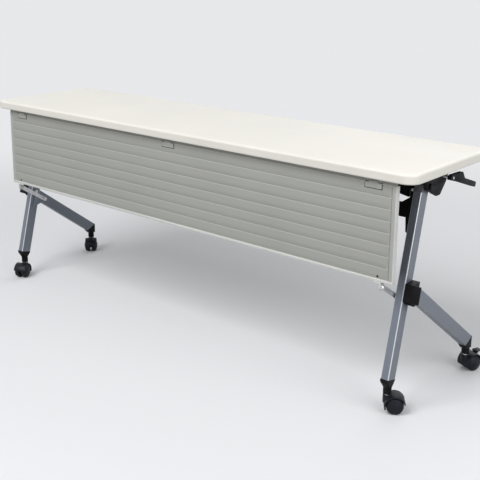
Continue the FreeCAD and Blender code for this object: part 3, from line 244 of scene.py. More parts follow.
def build_mottle():
    """Slow drift of a colour, as of moulded or painted batches and light soiling."""
    tree, start, end = effect_group(
        "Mottle",
        [
            ("Color", "NodeSocketColor", (0.5, 0.5, 0.5, 1)),
            ("Soiled", "NodeSocketColor", (0.4, 0.4, 0.4, 1)),
            ("Scale", "NodeSocketFloat", 6.0),
            ("Amount", "NodeSocketFloat", 0.2),
        ],
        [("Color", "NodeSocketColor")],
    )
    noise = object_noise(tree, start.outputs["Scale"], 4)
    spread = add_node(tree, "ShaderNodeMapRange")
    spread.inputs["From Min"].default_value = 0.35
    spread.inputs["From Max"].default_value = 0.7
    product = add_node(tree, "ShaderNodeMath", operation="MULTIPLY")
    mix = add_node(tree, "ShaderNodeMix", data_type="RGBA")
    tree.links.new(noise.outputs["Fac"], spread.inputs["Value"])
    tree.links.new(spread.outputs["Result"], product.inputs[0])
    tree.links.new(start.outputs["Amount"], product.inputs[1])
    tree.links.new(product.outputs[0], mix.inputs["Factor"])
    tree.links.new(start.outputs["Color"], mix.inputs["A"])
    tree.links.new(start.outputs["Soiled"], mix.inputs["B"])
    tree.links.new(mix.outputs["Result"], end.inputs["Color"])
    return tree


def build_grain():
    """Fine stipple of a moulded, painted or laminated skin."""
    tree, start, end = effect_group(
        "Grain",
        [("Scale", "NodeSocketFloat", 900.0), ("Depth", "NodeSocketFloat", 0.3)],
        [("Height", "NodeSocketFloat")],
    )
    noise = object_noise(tree, start.outputs["Scale"], 2)
    product = add_node(tree, "ShaderNodeMath", operation="MULTIPLY")
    tree.links.new(noise.outputs["Fac"], product.inputs[0])
    tree.links.new(start.outputs["Depth"], product.inputs[1])
    tree.links.new(product.outputs[0], end.inputs["Height"])
    return tree


def build_scuffs():
    """Faint long rubs that change the gloss."""
    tree, start, end = effect_group(
        "Scuffs",
        [
            ("Scale", "NodeSocketFloat", 14.0),
            ("Low", "NodeSocketFloat", 0.35),
            ("High", "NodeSocketFloat", 0.5),
        ],
        [("Roughness", "NodeSocketFloat")],
    )
    long_noise = object_noise(tree, start.outputs["Scale"], 5, (0.25, 1.0, 1.0))
    spread = add_node(tree, "ShaderNodeMapRange")
    spread.inputs["From Min"].default_value = 0.3
    spread.inputs["From Max"].default_value = 0.7
    tree.links.new(long_noise.outputs["Fac"], spread.inputs["Value"])
    tree.links.new(start.outputs["Low"], spread.inputs["To Min"])
    tree.links.new(start.outputs["High"], spread.inputs["To Max"])
    tree.links.new(spread.outputs["Result"], end.inputs["Roughness"])
    return tree


def build_flakes():
    """Glitter of metal flakes in paint or spangle of a zinc coat."""
    tree, start, end = effect_group(
        "Flakes",
        [
            ("Color", "NodeSocketColor", (0.5, 0.5, 0.5, 1)),
            ("Bright", "NodeSocketColor", (0.8, 0.8, 0.8, 1)),
            ("Scale", "NodeSocketFloat", 1400.0),
            ("Amount", "NodeSocketFloat", 0.3),
        ],
        [("Color", "NodeSocketColor")],
    )
    place = tree.nodes.new("ShaderNodeTexCoord")
    cells = add_node(tree, "ShaderNodeTexVoronoi")
    split = add_node(tree, "ShaderNodeSeparateColor")
    product = add_node(tree, "ShaderNodeMath", operation="MULTIPLY")
    mix = add_node(tree, "ShaderNodeMix", data_type="RGBA")
    tree.links.new(place.outputs["Object"], cells.inputs["Vector"])
    tree.links.new(start.outputs["Scale"], cells.inputs["Scale"])
    tree.links.new(cells.outputs["Color"], split.inputs["Color"])
    tree.links.new(split.outputs["Red"], product.inputs[0])
    tree.links.new(start.outputs["Amount"], product.inputs[1])
    tree.links.new(product.outputs[0], mix.inputs["Factor"])
    tree.links.new(start.outputs["Color"], mix.inputs["A"])
    tree.links.new(start.outputs["Bright"], mix.inputs["B"])
    tree.links.new(mix.outputs["Result"], end.inputs["Color"])
    return tree


def build_bands():
    """Even level bands up the piece, such as a painted highlight on ledges and painted shade on lips."""
    tree, start, end = effect_group(
        "Bands",
        [
            ("Place", "NodeSocketFloat", 0.0),
            ("Pitch", "NodeSocketFloat", 0.03),
            ("Width", "NodeSocketFloat", 0.001),
            ("Soft", "NodeSocketFloat", 0.0005),
        ],
        [("Mask", "NodeSocketFloat")],
    )
    place = tree.nodes.new("ShaderNodeTexCoord")
    split = add_node(tree, "ShaderNodeSeparateXYZ")
    above = add_node(tree, "ShaderNodeMath", operation="SUBTRACT")
    from_band = add_node(tree, "ShaderNodeMath", operation="WRAP")
    high = add_node(tree, "ShaderNodeMath", operation="MULTIPLY")
    high.inputs[1].default_value = 0.5
    low = add_node(tree, "ShaderNodeMath", operation="MULTIPLY")
    low.inputs[1].default_value = -0.5
    away = add_node(tree, "ShaderNodeMath", operation="ABSOLUTE")
    half = add_node(tree, "ShaderNodeMath", operation="MULTIPLY")
    half.inputs[1].default_value = 0.5
    outside = add_node(tree, "ShaderNodeMath", operation="SUBTRACT")
    fade = add_node(tree, "ShaderNodeMath", operation="DIVIDE", use_clamp=True)
    mask = add_node(tree, "ShaderNodeMath", operation="SUBTRACT", use_clamp=True)
    mask.inputs[0].default_value = 1.0
    link = tree.links.new
    link(place.outputs["Object"], split.inputs["Vector"])
    link(split.outputs["Z"], above.inputs[0])
    link(start.outputs["Place"], above.inputs[1])
    link(start.outputs["Pitch"], high.inputs[0])
    link(start.outputs["Pitch"], low.inputs[0])
    link(above.outputs[0], from_band.inputs[0])
    link(high.outputs[0], from_band.inputs[1])
    link(low.outputs[0], from_band.inputs[2])
    link(from_band.outputs[0], away.inputs[0])
    link(start.outputs["Width"], half.inputs[0])
    link(away.outputs[0], outside.inputs[0])
    link(half.outputs[0], outside.inputs[1])
    link(outside.outputs[0], fade.inputs[0])
    link(start.outputs["Soft"], fade.inputs[1])
    link(fade.outputs[0], mask.inputs[1])
    link(mask.outputs[0], end.inputs["Mask"])
    return tree


EFFECTS = {
    "Mottle": build_mottle,
    "Grain": build_grain,
    "Scuffs": build_scuffs,
    "Flakes": build_flakes,
    "Bands": build_bands,
}


def place_effect(tree, name, **values):
    """Places one of the shared effects in a material with its own values."""
    group = bpy.data.node_groups.get(name) or EFFECTS[name]()
    node = tree.nodes.new("ShaderNodeGroup")
    node.node_tree = group
    for label, value in values.items():
        node.inputs[label].default_value = value
    return node


# Finishes


def rgba(colour, share=1.0):
    """A colour with alpha, made darker or lighter by a share."""
    return (colour[0] * share, colour[1] * share, colour[2] * share, 1.0)


def finish(name, colour, soiled_share, mottle, grain, scuffs, metallic=0.0, flakes=None, gloss=0.5):
    """A material from the shared effects.

    soiled_share makes the colour of its soiled spots. mottle is (scale, amount), grain (scale,
    depth, bump distance), scuffs (scale, lowest roughness, highest roughness) and flakes (bright
    share, scale, amount). gloss is the level of the plain surface reflection.
    """
    material = bpy.data.materials.get(name)
    if material:
        return material
    material = bpy.data.materials.new(name)
    material.use_nodes = True
    tree = material.node_tree
    shader = tree.nodes["Principled BSDF"]
    shader.inputs["Metallic"].default_value = metallic
    shader.inputs["Specular IOR Level"].default_value = gloss
    soiled = rgba(colour, soiled_share)
    drift = place_effect(tree, "Mottle", Color=rgba(colour), Soiled=soiled, Scale=mottle[0], Amount=mottle[1])
    skin = drift.outputs["Color"]
    if flakes:
        bright = rgba(colour, flakes[0])
        glitter = place_effect(tree, "Flakes", Bright=bright, Scale=flakes[1], Amount=flakes[2])
        tree.links.new(skin, glitter.inputs["Color"])
        skin = glitter.outputs["Color"]
    tree.links.new(skin, shader.inputs["Base Color"])
    rubs = place_effect(tree, "Scuffs", Scale=scuffs[0], Low=scuffs[1], High=scuffs[2])
    tree.links.new(rubs.outputs["Roughness"], shader.inputs["Roughness"])
    stipple = place_effect(tree, "Grain", Scale=grain[0], Depth=grain[1])
    bump = tree.nodes.new("ShaderNodeBump")
    bump.inputs["Distance"].default_value = grain[2]
    bump.inputs["Strength"].default_value = 0.6
    tree.links.new(stipple.outputs["Height"], bump.inputs["Height"])
    tree.links.new(bump.outputs["Normal"], shader.inputs["Normal"])
    return material


def laminate():
    """Ivory melamine with a fine matt grain and faint rubs."""
    return finish(
        "Ivory laminate",
        bpy.context.scene.table_surfaces.laminate,
        soiled_share=0.93,
        mottle=(3.0, 0.5),
        grain=(700, 0.5, 0.2 * MM),
        scuffs=(9, 0.42, 0.56),
    )


def edge_plastic():
    """The moulded ivory edge, a little glossier than the laminate."""
    return finish(
        "Ivory edge",
        bpy.context.scene.table_surfaces.edge,
        soiled_share=0.9,
        mottle=(7.0, 0.5),
        grain=(450, 0.4, 0.3 * MM),
        scuffs=(20, 0.36, 0.5),
    )


def panel_plastic():
    """The matt grey-green of the panel, with a painted highlight along its ledges and faint painted shade on
    its lips.
    """
    name = "Grey-green panel"
    material = bpy.data.materials.get(name)
    if material:
        return material
    colour = bpy.context.scene.table_surfaces.panel
    material = finish(
        name,
        colour,
        soiled_share=0.9,
        mottle=(4.0, 0.5),
        grain=(800, 0.6, 0.2 * MM),
        scuffs=(12, 0.45, 0.6),
        gloss=0.4,
    )
    sizes = bpy.context.scene.table_panel
    low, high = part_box("modesty_panel")
    pitch = (high.z - low.z) / sizes.strips
    tree = material.node_tree
    shader = tree.nodes["Principled BSDF"]
    skin = shader.inputs["Base Color"].links[0].from_socket
    # Painted light: the ledge band is a painted highlight along each strip's upper edge, and the lip band is
    # painted shade on each lip.
    lip_middle_share = 0.7
    ledge_highlight = (low.z - 0.7 * MM, 1.8 * MM, 1.3)
    lip = (low.z + sizes.lip * lip_middle_share, 1.7 * MM, 0.97)
    for place, width, share in (ledge_highlight, lip):
        bands = place_effect(tree, "Bands", Place=place, Pitch=pitch, Width=width, Soft=0.5 * MM)
        painted_light_mix = add_node(tree, "ShaderNodeMix", data_type="RGBA")
        painted_light_mix.inputs["B"].default_value = rgba(colour, share)
        tree.links.new(bands.outputs["Mask"], painted_light_mix.inputs["Factor"])
        tree.links.new(skin, painted_light_mix.inputs["A"])
        skin = painted_light_mix.outputs["Result"]
    tree.links.new(skin, shader.inputs["Base Color"])
    return material


def trim_plastic():
    """The lighter grey-green of the end trims."""
    return finish(
        "Light trim",
        bpy.context.scene.table_surfaces.trim,
        soiled_share=0.88,
        mottle=(8.0, 0.5),
        grain=(900, 0.5, 0.2 * MM),
        scuffs=(18, 0.4, 0.55),
    )


def hinge_plastic():
    """The panel's grey-green on its hinges, a shade lighter."""
    lighter_share = 1.12
    return finish(
        "Grey-green hinge",
        rgba(bpy.context.scene.table_surfaces.panel, lighter_share)[:3],
        soiled_share=0.85,
        mottle=(30.0, 0.5),
        grain=(900, 0.5, 0.2 * MM),
        scuffs=(40, 0.4, 0.55),
        gloss=0.4,
    )


def rail_plastic():
    """The off-white of the bottom rail, the link brackets and the trims' outer rims."""
    return finish(
        "Off-white rail",
        bpy.context.scene.table_surfaces.rail,
        soiled_share=0.86,
        mottle=(9.0, 0.5),
        grain=(900, 0.5, 0.2 * MM),
        scuffs=(18, 0.4, 0.55),
    )


def silver_paint():
    """Metallic silver paint with fine flakes, and a painted highlight along a tube's long corners."""
    name = "Silver paint"
    material = bpy.data.materials.get(name)
    if material:
        return material
    colours = bpy.context.scene.table_surfaces
    material = finish(
        name,
        colours.silver,
        soiled_share=0.85,
        mottle=(10, 0.5),
        grain=(600, 0.3, 0.2 * MM),
        scuffs=(16, 0.3, 0.42),
        metallic=0.4,
        flakes=(1.5, 1600, 0.35),
    )
    tree = material.node_tree
    shader = tree.nodes["Principled BSDF"]
    # Painted highlight: marked corner faces take the bright corner colour.
    highlit = add_node(tree, "ShaderNodeAttribute", attribute_name="highlit")
    painted_light_mix = add_node(tree, "ShaderNodeMix", data_type="RGBA")
    painted_light_mix.inputs["B"].default_value = rgba(colours.highlit)
    tree.links.new(highlit.outputs["Fac"], painted_light_mix.inputs["Factor"])
    tree.links.new(shader.inputs["Base Color"].links[0].from_socket, painted_light_mix.inputs["A"])
    tree.links.new(painted_light_mix.outputs["Result"], shader.inputs["Base Color"])
    return material


def black_coat():
    """Black powder coat with its slight orange peel."""
    return finish(
        "Black powder coat",
        BLACK,
        soiled_share=1.9,
        mottle=(14, 0.4),
        grain=(380, 0.8, 0.4 * MM),
        scuffs=(22, 0.42, 0.6),
        gloss=0.12,
    )


def black_plastic():
    """Black moulded plastic with a fine spark grain."""
    return finish(
        "Black plastic",
        BLACK,
        soiled_share=2.0,
        mottle=(16, 0.4),
        grain=(1300, 0.9, 0.3 * MM),
        scuffs=(25, 0.45, 0.62),
        gloss=0.14,
    )


def grey_plastic():
    """Dark grey moulded plastic of the post heads."""
    return finish(
        "Dark grey plastic",
        (0.14, 0.14, 0.15),
        soiled_share=0.8,
        mottle=(14, 0.5),
        grain=(1100, 0.8, 0.3 * MM),
        scuffs=(25, 0.4, 0.55),
        gloss=0.3,
    )


def caster_nylon():
    """Blue-black nylon, polished a little by the floor."""
    return finish(
        "Caster nylon",
        bpy.context.scene.table_surfaces.caster,
        soiled_share=1.9,
        mottle=(40, 0.6),
        grain=(900, 0.6, 0.3 * MM),
        scuffs=(45, 0.32, 0.55),
        gloss=0.22,
    )


def zinc_steel():
    """Zinc-plated steel with its soft spangle."""
    return finish(
        "Zinc-plated steel",
        (0.70, 0.71, 0.72),
        soiled_share=0.75,
        mottle=(30, 0.5),
        grain=(700, 0.4, 0.2 * MM),
        scuffs=(40, 0.26, 0.42),
        metallic=0.6,
        flakes=(1.25, 300, 0.4),
    )


def chrome():
    """Chrome plate, with faint dulling."""
    return finish(
        "Chrome plate",
        (0.78, 0.79, 0.80),
        soiled_share=0.85,
        mottle=(50, 0.4),
        grain=(500, 0.2, 0.1 * MM),
        scuffs=(60, 0.08, 0.2),
        metallic=1.0,
    )


def white_nylon():
    """White nylon of the pivot bushes."""
    return finish(
        "White nylon",
        (0.90, 0.90, 0.88),
        soiled_share=0.9,
        mottle=(30, 0.5),
        grain=(900, 0.4, 0.2 * MM),
        scuffs=(40, 0.4, 0.5),
    )


FINISH_OF_SLOT = {
    "top_laminate": laminate,
    "edge_plastic": edge_plastic,
    "panel_plastic": panel_plastic,
    "trim_plastic": trim_plastic,
    "rail_plastic": rail_plastic,
    "silver_tube": silver_paint,
    "black_metal": black_coat,
    "black_plastic": black_plastic,
    "grey_plastic": grey_plastic,
    "caster_plastic": caster_nylon,
    "bright_steel": zinc_steel,
    "chrome": chrome,
    "white_nylon": white_nylon,
}

FINISH_OF_NODE = {
    "hinge_leaves_top": hinge_plastic,
    "hinge_leaves_panel": hinge_plastic,
    "link_anchor_left": silver_paint,
    "link_anchor_right": silver_paint,
}


def finish_of(node):
    """The material of a CAD node, its own or that of its slot."""
    return FINISH_OF_NODE.get(node, FINISH_OF_SLOT[SLOT_OF[node]])()


# Pieces


def dress(node):
    """Gives a CAD node its finish."""
    item = frame["nodes"][node]
    item.data.materials.clear()
    item.data.materials.append(finish_of(node))


def linked_object(name, mesh):
    """An object for a mesh, in the scene."""
    item = bpy.data.objects.new(name, mesh)
    bpy.context.scene.collection.objects.link(item)
    return item


def new_piece(name, mesh, body, slot, *nodes):
    """Puts a finished mesh in the scene, riding on a body in place of CAD nodes."""
    settle_piece(linked_object(name, mesh), body, slot, *nodes)


def settle_piece(piece, body, slot, *nodes):
    """Lets a piece ride on a body in place of CAD nodes. The slot is not used."""
    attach(piece, body)
    if nodes:
        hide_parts(*nodes)


def merged_copy(node, name):
    """A copy of a CAD node's mesh, its loose triangles joined to plain faces, in the node's finish."""
    mesh = frame["nodes"][node].data.copy()
    mesh.name = name
    shape = bmesh.new()
    shape.from_mesh(mesh)
    bmesh.ops.remove_doubles(shape, verts=shape.verts, dist=MERGE_REACH)
    bmesh.ops.dissolve_limit(
        shape, angle_limit=FLAT_ANGLE, verts=shape.verts, edges=shape.edges, use_dissolve_boundaries=False
    )
    shape.to_mesh(mesh)
    shape.free()
    mesh.materials.clear()
    mesh.materials.append(finish_of(node))
    return mesh


def soften(node, radius, segments=2):
    """Stands a copy of a CAD node with rounded edges in for the node."""
    name = node + "_soft"
    piece = linked_object(name, merged_copy(node, name))
    bevel = piece.modifiers.new("Soft edges", "BEVEL")
    bevel.width = radius
    bevel.segments = segments
    bevel.limit_method = "ANGLE"
    bevel.angle_limit = BEVEL_ANGLE
    bevel.use_clamp_overlap = True
    bake_modifiers(piece)
    smooth_by_angle(piece.data)
    settle_piece(piece, BODY_OF[node], SLOT_OF[node], node)


def highlit_tube(node, highlight_strength):
    """Stands a copy of a tube in for its node, with a painted highlight of a given strength on its long
    rounded corners.

    A corner's faces are those that look between the tube's flat sides.
    """
    name = node + "_rubbed"
    mesh = merged_copy(node, name)
    smooth_by_angle(mesh)
    # Painted highlight: corner faces are marked with the given strength.
    highlight_marks = mesh.attributes.new("highlit", "FLOAT", "FACE")
    least, most = 0.3, 0.95
    for face in mesh.polygons:
        highlight_marks.data[face.index].value = highlight_strength if least < abs(face.normal.x) < most else 0.0
    new_piece(name, mesh, BODY_OF[node], SLOT_OF[node], node)


def bake_modifiers(piece):
    """Turns a piece's modifiers into its plain mesh."""
    bpy.context.view_layer.update()
    graph = bpy.context.evaluated_depsgraph_get()
    result = bpy.data.meshes.new_from_object(piece.evaluated_get(graph))
    piece.modifiers.clear()
    old = piece.data
    piece.data = result
    bpy.data.meshes.remove(old)


def smooth_by_angle(mesh):
    """Smooths a mesh but for the edges that turn more than the smooth angle."""
    shape = bmesh.new()
    shape.from_mesh(mesh)
    for face in shape.faces:
        face.smooth = True
    for edge in shape.edges:
        edge.smooth = len(edge.link_faces) == 2 and edge.calc_face_angle(0) < SMOOTH_ANGLE
    shape.to_mesh(mesh)
    shape.free()


def repeat_tree():
    """A tree that repeats its geometry along an offset."""
    name = "Repeat along"
    tree = bpy.data.node_groups.get(name)
    if tree:
        return tree
    tree = bpy.data.node_groups.new(name, "GeometryNodeTree")
    new_socket = tree.interface.new_socket
    new_socket(name="Geometry", in_out="INPUT", socket_type="NodeSocketGeometry")
    new_socket(name="Count", in_out="INPUT", socket_type="NodeSocketInt")
    new_socket(name="Offset", in_out="INPUT", socket_type="NodeSocketVector")
    new_socket(name="Finish", in_out="INPUT", socket_type="NodeSocketMaterial")
    new_socket(name="Geometry", in_out="OUTPUT", socket_type="NodeSocketGeometry")
    start = tree.nodes.new("NodeGroupInput")
    end = tree.nodes.new("NodeGroupOutput")
    line = tree.nodes.new("GeometryNodeMeshLine")
    copies = tree.nodes.new("GeometryNodeInstanceOnPoints")
    solid = tree.nodes.new("GeometryNodeRealizeInstances")
    paint = tree.nodes.new("GeometryNodeSetMaterial")
    link = tree.links.new
    link(start.outputs["Count"], line.inputs["Count"])
    link(start.outputs["Offset"], line.inputs["Offset"])
    link(line.outputs["Mesh"], copies.inputs["Points"])
    link(start.outputs["Geometry"], copies.inputs["Instance"])
    link(copies.outputs["Instances"], solid.inputs["Geometry"])
    link(solid.outputs["Geometry"], paint.inputs["Geometry"])
    link(start.outputs["Finish"], paint.inputs["Material"])
    link(paint.outputs["Geometry"], end.inputs["Geometry"])
    return tree


def repeat(piece, count, offset, material):
    """Repeats a piece's mesh with the tree and keeps the result as plain mesh."""
    modifier = piece.modifiers.new("Repeat", "NODES")
    modifier.node_group = repeat_tree()
    values = {"Count": count, "Offset": offset, "Finish": material}
    for item in modifier.node_group.interface.items_tree:
        if item.in_out == "INPUT" and item.name in values:
            modifier[item.identifier] = values[item.name]
    bake_modifiers(piece)


def extrude_outline(name, outline, low, high, upright=False):
    """A closed mesh from an outline in Y and Z drawn out along X, or in X and Y drawn out along Z."""
    mesh = bpy.data.meshes.new(name)
    shape = bmesh.new()
    ends = []
    for reach in (low, high):
        places = [(a, b, reach) if upright else (reach, a, b) for a, b in outline]
        ends.append([shape.verts.new(place) for place in places])
    count = len(outline)
    for step in range(count):
        after = (step + 1) % count
        shape.faces.new((ends[0][step], ends[0][after], ends[1][after], ends[1][step]))
    shape.faces.new(list(reversed(ends[0])))
    shape.faces.new(ends[1])
    bmesh.ops.recalc_face_normals(shape, faces=shape.faces)
    shape.to_mesh(mesh)
    shape.free()
    return mesh


# Steps that build or finish the pieces


class TABLE_OT_top(bpy.types.Operator):
    """Finish the table top and its moulded edge"""

    bl_idname = "table.finish_top"
    bl_label = "Top"

    def execute(self, context):
        dress("top_board")
        dress("edge_band")
        return {"FINISHED"}


class TABLE_OT_end_frames(bpy.types.Operator):
    """Finish posts, legs, blocks and plugs of both end frames"""

    bl_idname = "table.finish_end_frames"
    bl_label = "End frames"

    def execute(self, context):
        for side in ("left", "right"):
            # Painted highlight on the tubes' long corners, strong on the posts and faint on the rear legs.
            highlit_tube("front_post_" + side, 1.0)
            highlit_tube("rear_leg_" + side, 0.12)
            soften("joint_block_" + side, 1.2 * MM)
            soften("post_head_" + side, 0.8 * MM)
            soften("front_plug_" + side, 0.6 * MM)
            soften("rear_plug_" + side, 0.8 * MM)
        return {"FINISHED"}


class TABLE_OT_beam(bpy.types.Operator):
    """Finish the cross beam, its ends and the top's brackets"""

    bl_idname = "table.finish_beam"
    bl_label = "Beam and brackets"

    def execute(self, context):
        dress("cross_beam")
        for side in ("left", "right"):
            soften("beam_end_" + side, 1.0 * MM)
            soften("top_bracket_" + side, 0.8 * MM)
        return {"FINISHED"}


class TABLE_OT_panel(bpy.types.Operator):
    """Build the panel's strips and finish its trims and rail"""

    bl_idname = "table.build_panel"
    bl_label = "Modesty panel"

    def execute(self, context):
        sizes = context.scene.table_panel
        low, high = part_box("modesty_panel")
        pitch = (high.z - low.z) / sizes.strips
        front = low.y
        back = front + PANEL_SHEET
        flat_share = 0.5
        lean_share = 0.35
        outline = [
            (back, 0),
            (front + sizes.step, 0),
            (front, sizes.lip),
            (front, pitch * flat_share),
            (front + sizes.step * lean_share, pitch),
            (back, pitch),
        ]
        mesh = extrude_outline("panel_strips", outline, low.x, high.x)
        mesh.transform(Matrix.Translation((0, 0, low.z)))
        strips = linked_object("panel_strips", mesh)
        repeat(strips, sizes.strips, (0, 0, pitch), panel_plastic())
        smooth_by_angle(strips.data)
        settle_piece(strips, "panel", "panel_plastic", "modesty_panel")
        flange_outline = [
            (back, high.z - PANEL_SHEET),
            (high.y, high.z - PANEL_SHEET),
            (high.y, high.z),
            (back, high.z),
        ]
        flange = extrude_outline("panel_flange", flange_outline, low.x, high.x)
        flange.materials.append(panel_plastic())
        new_piece("panel_flange", flange, "panel", "panel_plastic", "modesty_panel")
        build_crests(sizes, front, high)
        # Painted shade: dark plates round the hinges' clips.
        build_clip_shade(sizes, front, high)
        soften("panel_bottom_rail", 0.6 * MM)
        for side, sign in (("left", -1), ("right", 1)):
            build_end_trim(side, sign)
            soften("link_bracket_" + side, 0.7 * MM)
        build_bracket_screws()
        return {"FINISHED"}


def build_crests(sizes, front, high):
    """The lips that close the gap above the panel, between and beside the hinges."""
    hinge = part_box("hinge_leaves_top")[1].x - CLIP_HALF_WIDTH
    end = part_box("panel_end_trim_right")[1].x - 0.5 * MM
    stretches = (
        ("middle_left", -hinge + sizes.hinge_room, -sizes.hinge_room),
        ("middle_right", sizes.hinge_room, hinge - sizes.hinge_room),
        ("left", -end, -hinge - sizes.hinge_room),
        ("right", hinge + sizes.hinge_room, end),
    )
    foot = high.z - 1 * MM
    crest = high.z + sizes.crest
    near = front + 0.5 * MM
    far = front + 3.4 * MM
    corner = 0.6 * MM
    outline = [
        (near, foot),
        (far, foot),
        (far, crest - corner),
        (far - corner, crest),
        (near + corner, crest),
        (near, crest - corner),
    ]
    for name, start, stop in stretches:
        mesh = extrude_outline("panel_crest_" + name, outline, start, stop)
        mesh.materials.append(panel_plastic())
        new_piece("panel_crest_" + name, mesh, "panel", "panel_plastic")


def build_clip_shade(sizes, front, high):
    """Thin dark plates behind the hinges' clips, painted shade that shows as a dark line round each clip."""
    clips_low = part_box("hinge_leaves_panel")[0]
    near = front - 0.4 * MM
    far = front + 1.3 * MM
    foot = clips_low.z - sizes.clip_shade_rim
    head = high.z - 1 * MM
    outline = [(near, foot), (far, foot), (far, head), (near, head)]
    middle = clips_low.x + CLIP_HALF_WIDTH
    reach = CLIP_HALF_WIDTH + sizes.clip_shade_rim
    mesh = extrude_outline("clip_shade_plates", outline, middle - reach, middle + reach)
    shade_plates = linked_object("clip_shade_plates", mesh)
    repeat(shade_plates, 3, (-middle, 0, 0), black_plastic())
    smooth_by_angle(shade_plates.data)
    settle_piece(shade_plates, "panel", "black_plastic")


def build_end_trim(side, sign):
    """The folded end of the panel and the pale cover that is pressed over it.

    The outlines run outwards from the trim's inner edge, and the cover's outer rim is paler.
    """
    node = "panel_end_trim_" + side
    low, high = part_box(node)
    inner = low.x if sign > 0 else high.x
    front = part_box("modesty_panel")[0].y
    fold = [(0, high.y), (0, front), (7 * MM, front), (7.6 * MM, front + 1.5 * MM), (7.6 * MM, high.y)]
    cover = [
        (7.6 * MM, high.y),
        (7.6 * MM, front + 1.0 * MM),
        (8.4 * MM, front),
        (9.2 * MM, front - 0.9 * MM),
        (10.4 * MM, low.y),
        (20.0 * MM, low.y),
        (21.5 * MM, low.y + 0.5 * MM),
        (22.0 * MM, low.y + 2.0 * MM),
        (22.0 * MM, high.y),
    ]
    rim = abs(inner) + 20.2 * MM
    parts = (("fold", fold, panel_plastic, "panel_plastic"), ("cover", cover, trim_plastic, "trim_plastic"))
    for part, outline, paint, slot in parts:
        name = "panel_end_" + part + "_" + side
        places = [(inner + sign * x, y) for x, y in outline]
        mesh = extrude_outline(name, places, low.z, high.z, upright=True)
        mesh.materials.append(paint())
        mesh.materials.append(rail_plastic())
        for face in mesh.polygons:
            face.material_index = 1 if abs(face.center.x) > rim else 0
        smooth_by_angle(mesh)
        new_piece(name, mesh, "panel", slot, node)


def build_bracket_screws():
    """The small dark screws that hold the link brackets, seen on the panel's front."""
    low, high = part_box("link_bracket_left")
    middle = (low.x + high.x) / 2
    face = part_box("modesty_panel")[0].y
    rail_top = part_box("panel_bottom_rail")[1].z
    sunk = 0.4 * MM
    above_rail = 6.5 * MM
    mesh = turned_screw("bracket_screws", radius=3.2 * MM, rise=1.4 * MM)
    stand = Matrix.Translation((middle, face + sunk, rail_top + above_rail))
    mesh.transform(stand @ Matrix.Rotation(math.pi / 2, 4, "X"))
    screws = linked_object("bracket_screws", mesh)
    repeat(screws, 2, (-2 * middle, 0, 0), black_coat())
    smooth_by_angle(screws.data)
    settle_piece(screws, "panel", "black_metal")


def turned_screw(name, radius, rise):
    """A low domed screw head with a cross recess, its seat at zero and its crown along Z.

    The dome is given as shares of radius and rise, and so are the recess's arms, depth and taper.
    """
    dome_shares = ((1.0, 0.0), (1.0, 0.35), (0.86, 0.75), (0.6, 1.0))
    long_arm_share = 0.42
    short_arm_share = 0.16
    floor_share = 0.35
    taper_share = 0.7
    count = 24
    turns = [Matrix.Rotation(2 * math.pi * step / count, 4, "Z") for step in range(count)]
    mesh = bpy.data.meshes.new(name)
    shape = bmesh.new()
    loops = []
    for reach_share, rise_share in dome_shares:
        edge = Vector((radius * reach_share, 0, rise * rise_share))
        loops.append([shape.verts.new(turn @ edge) for turn in turns])
    star = []
    for step, turn in enumerate(turns):
        arm_share = long_arm_share if step % (count // 4) == 0 else short_arm_share
        star.append(shape.verts.new(turn @ Vector((radius * arm_share, 0, rise))))
    loops.append(star)
    bottom = [(vert.co.x * taper_share, vert.co.y * taper_share, rise * floor_share) for vert in star]
    loops.append([shape.verts.new(place) for place in bottom])
    for lower, upper in zip(loops, loops[1:]):
        for step in range(count):
            after = (step + 1) % count
            shape.faces.new((lower[step], lower[after], upper[after], upper[step]))
    shape.faces.new(list(reversed(loops[0])))
    shape.faces.new(loops[-1])
    bmesh.ops.recalc_face_normals(shape, faces=shape.faces)
    shape.to_mesh(mesh)
    shape.free()
    return mesh


class TABLE_OT_hinges(bpy.types.Operator):
    """Finish the panel's hinges"""

    bl_idname = "table.finish_hinges"
    bl_label = "Hinges"

    def execute(self, context):
        for node in ("hinge_leaves_top", "hinge_leaves_panel"):
            soften(node, 0.4 * MM)
        dress("hinge_pins")
        return {"FINISHED"}


class TABLE_OT_lock(bpy.types.Operator):
    """Finish the release levers and their hooks"""

    bl_idname = "table.finish_lock"
    bl_label = "Levers and hooks"

    def execute(self, context):
        for side in ("left", "right"):
            soften("release_lever_" + side, 1.2 * MM)
            soften("lock_hook_" + side, 0.5 * MM)
        return {"FINISHED"}


class TABLE_OT_links(bpy.types.Operator):
    """Finish the links and their anchors"""

    bl_idname = "table.finish_links"
    bl_label = "Links"

    def execute(self, context):
        for side in ("left", "right"):
            soften("link_bar_" + side, 0.6 * MM)
            soften("link_anchor_" + side, 0.5 * MM)
        return {"FINISHED"}


class TABLE_OT_fasteners(bpy.types.Operator):
    """Finish bolts, screws and bushes"""

    bl_idname = "table.finish_fasteners"
    bl_label = "Fasteners"

    def execute(self, context):
        for node in ("joint_bolts", "link_bolts", "pivot_bolts", "underside_screws"):
            soften(node, 0.4 * MM)
        dress("pivot_bushes")
        return {"FINISHED"}


class TABLE_OT_casters(bpy.types.Operator):
    """Finish the casters with their stems and brake pedals"""

    bl_idname = "table.finish_casters"
    bl_label = "Casters"

    def execute(self, context):
        dress("caster_stems")
        for node in sorted(frame["nodes"]):
            if node.startswith(("caster_hood", "brake_pedal")):
                soften(node, 0.7 * MM)
            elif node.startswith("caster_wheel"):
                soften(node, 1.2 * MM, 3)
            elif node.startswith("caster_axle"):
                dress(node)
        return {"FINISHED"}


# Stage


